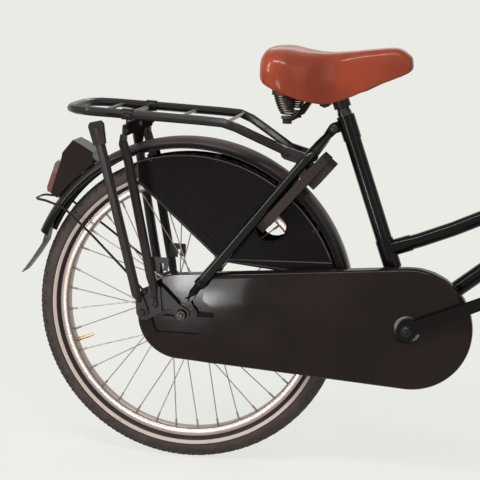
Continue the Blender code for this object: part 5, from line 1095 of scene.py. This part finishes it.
for side, label in SIDES:
    spots = [STAY_TOP + STAY_WAY * along + ALONG_Y * y * side for along, y, radius in STAY]
    knots = [Vector((*spot, radius)) for spot, (along, y, radius) in zip(spots, STAY)]
    rows = through(knots, 8)
    stay = sweep("seat_stay_tube_" + label, [row.xyz for row in rows], [row.w for row in rows], BRIGHT, 32)
    settle(stay, "frame")
    way = (spots[-1] - spots[-2]).normalized()
    collar = lathe("seat_stay_collar_" + label, COLLAR, spots[-1] + way * 0.0010, way, 28, GLOSS)
    settle(collar, "frame")
    print("seat stay:", len(stay.data.polygons), "faces")

# %% [markdown]
# ## Carrier fittings
# Two sleeves clamp the carrier's loop to its cross plate. At the front the loop's flattened ends are bolted to lugs
# on the seat stays, and a small hook for an elastic strap sits on each carrier stay.
# %% Sleeves, lugs and strap hooks
SLEEVE_START = (REAR.x - 0.090, 0.085, 0.6235)
LOOP_WAY = Vector((-1, 0, 0.0314))
# The sleeve's section: distance along it, radius
SLEEVE = [(0, 0.0076), (0, 0.0092), (0.0010, 0.0099), (0.0190, 0.0099), (0.0200, 0.0092), (0.0200, 0.0076)]
HOOK = [(-0.0570, 0.0745), (-0.0570, 0.0985), (-0.0550, 0.1000), (-0.0280, 0.1000), (-0.0260, 0.0985)]
HOOK += [(-0.0260, 0.0765), (-0.0340, 0.0765), (-0.0340, 0.0895), (-0.0405, 0.0895), (-0.0405, 0.0745)]
LUG_REAR, LUG_FRONT, LUG_RADIUS = (0.1700, 0.2890), (0.2060, 0.2790), 0.0105


def rounded_bar(first, second, radius, steps=12):
    """The outline round two equal circles."""
    heading = math.degrees(math.atan2(second[1] - first[1], second[0] - first[0]))
    far = arc(second, radius, heading - 90, heading + 90, steps)
    return far + arc(first, radius, heading + 90, heading + 270, steps)


for side, label in SIDES:
    start = Vector((SLEEVE_START[0], SLEEVE_START[1] * side, SLEEVE_START[2]))
    sleeve = lathe("carrier_sleeve_" + label, SLEEVE, start, LOOP_WAY, 32, SATIN)
    settle(sleeve, "frame")
    lug_outline = rounded_bar(LUG_REAR, LUG_FRONT, LUG_RADIUS)
    lug = mirrored_plate("carrier_lug_" + label, side, lug_outline, SATIN, inner=0.0270, outer=0.0345)
    settle(lug, "frame")
    hook = mirrored_plate("strap_hook_" + label, side, HOOK, SATIN, inner=0.0690, outer=0.0712)
    settle(hook, "frame")
print("points round a lug:", len(lug_outline))

# %% [markdown]
# ## Rivets
# Every joint of the carrier and the guards is closed by a domed rivet. A tree makes one dome and puts a copy at
# each place in a list.
# %% Rivets as moved copies of one dome
# Each rivet, from the rear axle: ahead, up, distance from the middle plane, radius
RIVETS = [(-0.0497, 0.0325, 0.0775, 0.0050), (-0.0462, 0.0165, 0.0775, 0.0050), (0.1690, 0.2893, 0.0345, 0.0058)]
RIVETS += [(0.2065, 0.2788, 0.0345, 0.0050), (-0.0700, -0.0003, 0.0775, 0.0062), (-0.1000, 0.3200, 0.0940, 0.0042)]
RIVETS += [(0.2220, 0.1555, 0.0322, 0.0026), (0.0475, 0.2690, 0.0322, 0.0026), (-0.0705, 0.2637, 0.0322, 0.0026)]


def rivet_heads(name, places, material):
    tree = Tree(name)
    count = tree.input("Rounds", "NodeSocketInt", 18)
    size = {"Segments": count, "Rings": 10, "Radius": 1.0}
    dome = tree.moved(tree.node("GeometryNodeMeshUVSphere", {}, size), turn=(math.radians(90), 0, 0))
    copies = []
    for x, z, y, radius in places:
        for side in (-1, 1):
            spot = REAR + Vector((x, y * side, z))
            copies.append(tree.moved(dome, spot, scale=(radius, radius * 0.5, radius)))
    return grow(tree, name, tree.joined(*copies), material)


settle(rivet_heads("frame_rivets", RIVETS, SATIN), "frame")

# %% [markdown]
# ## Spring cups
# A pressed cup under the saddle holds the wide end of each coil, and a nut closes the narrow end.
# %% Cups and nuts
# Each point: height, radius
CUP = [(0.0012, 0.0), (0.0012, 0.0195), (0.0004, 0.0207), (-0.0010, 0.0212), (-0.0105, 0.0206), (-0.0105, 0.0198)]
CUP += [(-0.0015, 0.0200), (-0.0008, 0.0190), (-0.0008, 0.0)]
NUT = [(0.0, 0.0), (0.0, 0.0096), (-0.0012, 0.0102), (-0.0042, 0.0102), (-0.0050, 0.0094), (-0.0054, 0.0080)]
NUT += [(-0.0076, 0.0072), (-0.0084, 0.0060), (-0.0086, 0.0)]

ALONG_Z = Vector((0, 0, 1))

for side, label in SIDES:
    foot = Vector((SPRING_FOOT.x, SPRING_FOOT.y * side, SPRING_FOOT.z))
    cup = lathe("spring_cup_" + label, CUP, foot + SPRING_AXIS, ALONG_Z, 36, SPRING_STEEL)
    settle(cup, "saddle")
    nut = lathe("spring_nut_" + label, NUT, foot, ALONG_Z, 28, SPRING_STEEL)
    settle(nut, "saddle")
    print("cup and nut:", len(cup.data.polygons) + len(nut.data.polygons), "faces")

# %% [markdown]
# ## Grips
# The grips wear the saddle's brown cover. Rings pressed into the sleeve and a thicker collar at each end keep the
# hand in place.
# %% Ringed grips
GRIP_WAY = Vector((-0.168, 0.029, -0.007)).normalized()
GRIP_LENGTH = 0.115
GRIP_RADIUS = 0.0153
GRIP_BORE = 0.0120
GRIP_BACK = 0.0580
RIDGES = 17


def grip_profile(length, radius, bore):
    outer = [(0.0, radius + 0.0008), (0.0006, radius + 0.0012), (0.0046, radius + 0.0012), (0.0056, radius)]
    for k in range(RIDGES):
        start = 0.010 + (length - 0.022) * k / RIDGES
        outer += [(start, radius - 0.0002), (start + 0.0012, radius - 0.0013), (start + 0.0024, radius - 0.0002)]
    outer += [(length - 0.009, radius), (length - 0.006, radius + 0.001), (length - 0.0015, radius + 0.0002)]
    outer += [(length, radius - 0.002), (length + 0.001, 0.0), (length - 0.004, 0.0), (length - 0.004, bore)]
    return [*outer, (0.0, bore)]


for side, label in SIDES:
    low, high = (Vector(corner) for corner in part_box("grip_" + label))
    way = Vector((GRIP_WAY.x, GRIP_WAY.y * side, GRIP_WAY.z))
    start = (low + high) * 0.5 - way * GRIP_BACK
    profile = grip_profile(GRIP_LENGTH, GRIP_RADIUS, GRIP_BORE)
    sleeve = lathe("grip_sleeve_" + label, profile, start, way, 40, LEATHER, 60)
    settle(sleeve, "handlebar", ["grip_" + label])
    print("grip:", len(sleeve.data.polygons), "faces")

# %% [markdown]
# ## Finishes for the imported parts
# The parts that keep their packed form get a finish by their slot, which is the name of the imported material. A few
# parts look different from the others in their slot, so a second table comes first.
# %% Which part gets which finish
finishes = {
    "black_rubber": RUBBER,
    "brown_saddle": LEATHER,
    "clear_lens": CLEAR_LENS,
    "coat_guard_vinyl": VINYL,
    "dark_plastic": PLASTIC,
    "gloss_black": GLOSS,
    "polished_rim": CHROME,
    "red_lens": RED_LENS,
    "satin_black": SATIN,
    "zinc_steel": ZINC,
}
special = {
    "carrier": CARRIER,
    "ring_lock": LOCK_PLASTIC,
    "crank_right": GLOSS,
    "crank_left": GLOSS,
    "bracket_spindle": SHEEN,
    "tail_light_housing": CASE_PLASTIC,
    "seat_stay_bolt": DARK_STEEL,
    "rear_axle": DARK_STEEL,
    "rear_sprocket": DARK_STEEL,
    "axle_plate_right": SATIN,
    "mud_flap": FLAP_RUBBER,
    "chain_case_back": CASE_PLASTIC,
    "seat_post": BLACK_CHROME,
}
for node, part in frame["nodes"].items():
    slot = part.data.materials[0].name.split(".")[0]
    dress(node, special.get(node) or finishes[slot])
print("parts with a finish:", len(frame["nodes"]))

# %% [markdown]
# ## Floor, sky and lamps
# The photo is a studio shot on a pale ground. The long highlights on the tubes ask for a wide, thin lamp overhead and
# a tall, thin one behind and to the right. Two small cards low on the right make the patch of light on the chain
# case, and two big dim lamps, one ahead and one on the left, open the shadows. Rays from the camera, mirrors and
# glass see an even pale tone round the bicycle, and the light on the parts ignores it. The floor keeps a share of its
# own shading near the wheels, for the shadow, and fades to the even tone further out, so that no horizon shows.
# %% Stage
PALE = (0.823, 0.831, 0.783)
SKY_TONE = (0.93, 0.96, 1.0)
SKY_STRENGTH = 0.55
FADE = (0.25, 1.6)
FADE_SHARE = (0.86, 1.0)
FLOOR_HALF = 12


def surround(tree, seen, shading, share=None):
    """Shows the even pale tone to camera, mirror and glass rays, and the shading to everything else."""
    path = tree.nodes.new("ShaderNodeLightPath")
    even = tree.nodes.new("ShaderNodeEmission")
    even.inputs["Color"].default_value = (*seen, 1)
    mixer = tree.nodes.new("ShaderNodeMixShader")
    seen_by = path.outputs["Is Camera Ray"]
    others = [("MAXIMUM", path.outputs["Is Glossy Ray"]), ("MAXIMUM", path.outputs["Is Transmission Ray"])]
    if share:
        others.append(("MULTIPLY", share))
    for operation, other in others:
        step = tree.nodes.new("ShaderNodeMath")
        step.operation = operation
        tree.links.new(seen_by, step.inputs[0])
        tree.links.new(other, step.inputs[1])
        seen_by = step.outputs[0]
    tree.links.new(seen_by, mixer.inputs[0])
    tree.links.new(shading, mixer.inputs[1])
    tree.links.new(even.outputs[0], mixer.inputs[2])
    return mixer.outputs[0]


world = bpy.data.worlds.new("studio")
world.use_nodes = True
bpy.context.scene.world = world
glow = world.node_tree.nodes["Background"]
glow.inputs["Color"].default_value = (*SKY_TONE, 1)
glow.inputs["Strength"].default_value = SKY_STRENGTH
sky = surround(world.node_tree, PALE, glow.outputs[0])
world.node_tree.links.new(sky, world.node_tree.nodes["World Output"].inputs["Surface"])

ground = Finish("pale_floor", PALE, 0.9)
ground_output = ground.tree.nodes["Material Output"]
x, y, z = ground.parts(ground.place())
even_share = ground.fade(x * x + y * y * 2.0, *FADE, *FADE_SHARE)
ground_look = surround(ground.tree, PALE, ground.shader.outputs[0], even_share.socket)
ground.tree.links.new(ground_look, ground_output.inputs["Surface"])
floor_points = [Vector((x * FLOOR_HALF, y * FLOOR_HALF, 0)) for x, y in ((-1, -1), (1, -1), (1, 1), (-1, 1))]
floor = add_mesh("floor", floor_points, [(0, 1, 2, 3)], ground.material)
floor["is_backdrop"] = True


# %% Lamps
def lamp(name, place, target, size, power):
    """A rectangular lamp that faces the target. The camera doesn't see it."""
    light = bpy.data.lights.new(name, "AREA")
    light.shape = "RECTANGLE"
    light.size, light.size_y = size
    light.energy = power
    holder = bpy.data.objects.new(name, light)
    holder.visible_camera = False
    holder.location = place
    holder.rotation_euler = (Vector(target) - Vector(place)).to_track_quat("-Z", "Y").to_euler()
    bpy.context.scene.collection.objects.link(holder)
    holder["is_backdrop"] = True


# Name, place, target, width and height, watts
lamp("key_light", (-0.5, -1.5, 2.5), (-0.1, 0, 0.5), (2.2, 0.18), 44)
lamp("side_light", (-2.3, -1.5, 1.5), (-0.1, 0, 0.4), (0.22, 1.6), 26)
lamp("low_card", (-0.74, -1.30, 0.235), (-0.44, 0, 0.32), (0.30, 0.39), 3.2)
lamp("low_core", (-0.708, -1.29, 0.105), (-0.41, 0, 0.24), (0.09, 0.13), 2.4)
lamp("fill_light", (1.9, -1.8, 1.5), (0.0, 0, 0.4), (1.2, 1.8), 8)
lamp("back_light", (-0.1, 2.3, 1.95), (-0.1, 0, 0.55), (2.2, 0.8), 12)
print("lamps:", len(bpy.data.lights))

# %% [markdown]
# ## Camera
# The photo shows the back half of the bicycle from its right side, a little from above and a little from behind.
# %% Camera
RIGHT = Vector((0.98191, 0.18663, 0.03203))
UP = Vector((-0.06448, 0.17046, 0.98325))
BACK = Vector((0.17805, -0.96753, 0.17941))
EYE = Vector((0.1200, -2.67053, 0.8974))
LENS_MM = 117.03
SENSOR_MM = 36.0

bpy.context.scene.view_settings.view_transform = "Standard"
camera = bpy.data.cameras.new("camera")
camera.lens = LENS_MM
camera.sensor_width = SENSOR_MM
viewer = bpy.data.objects.new("camera", camera)
turned = viewer.matrix_world.copy()
for row in range(3):
    turned[row][0] = RIGHT[row]
    turned[row][1] = UP[row]
    turned[row][2] = BACK[row]
turned.translation = EYE
viewer.matrix_world = turned
bpy.context.scene.collection.objects.link(viewer)
bpy.context.scene.camera = viewer
print("camera at", tuple(round(value, 3) for value in EYE))

low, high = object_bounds()
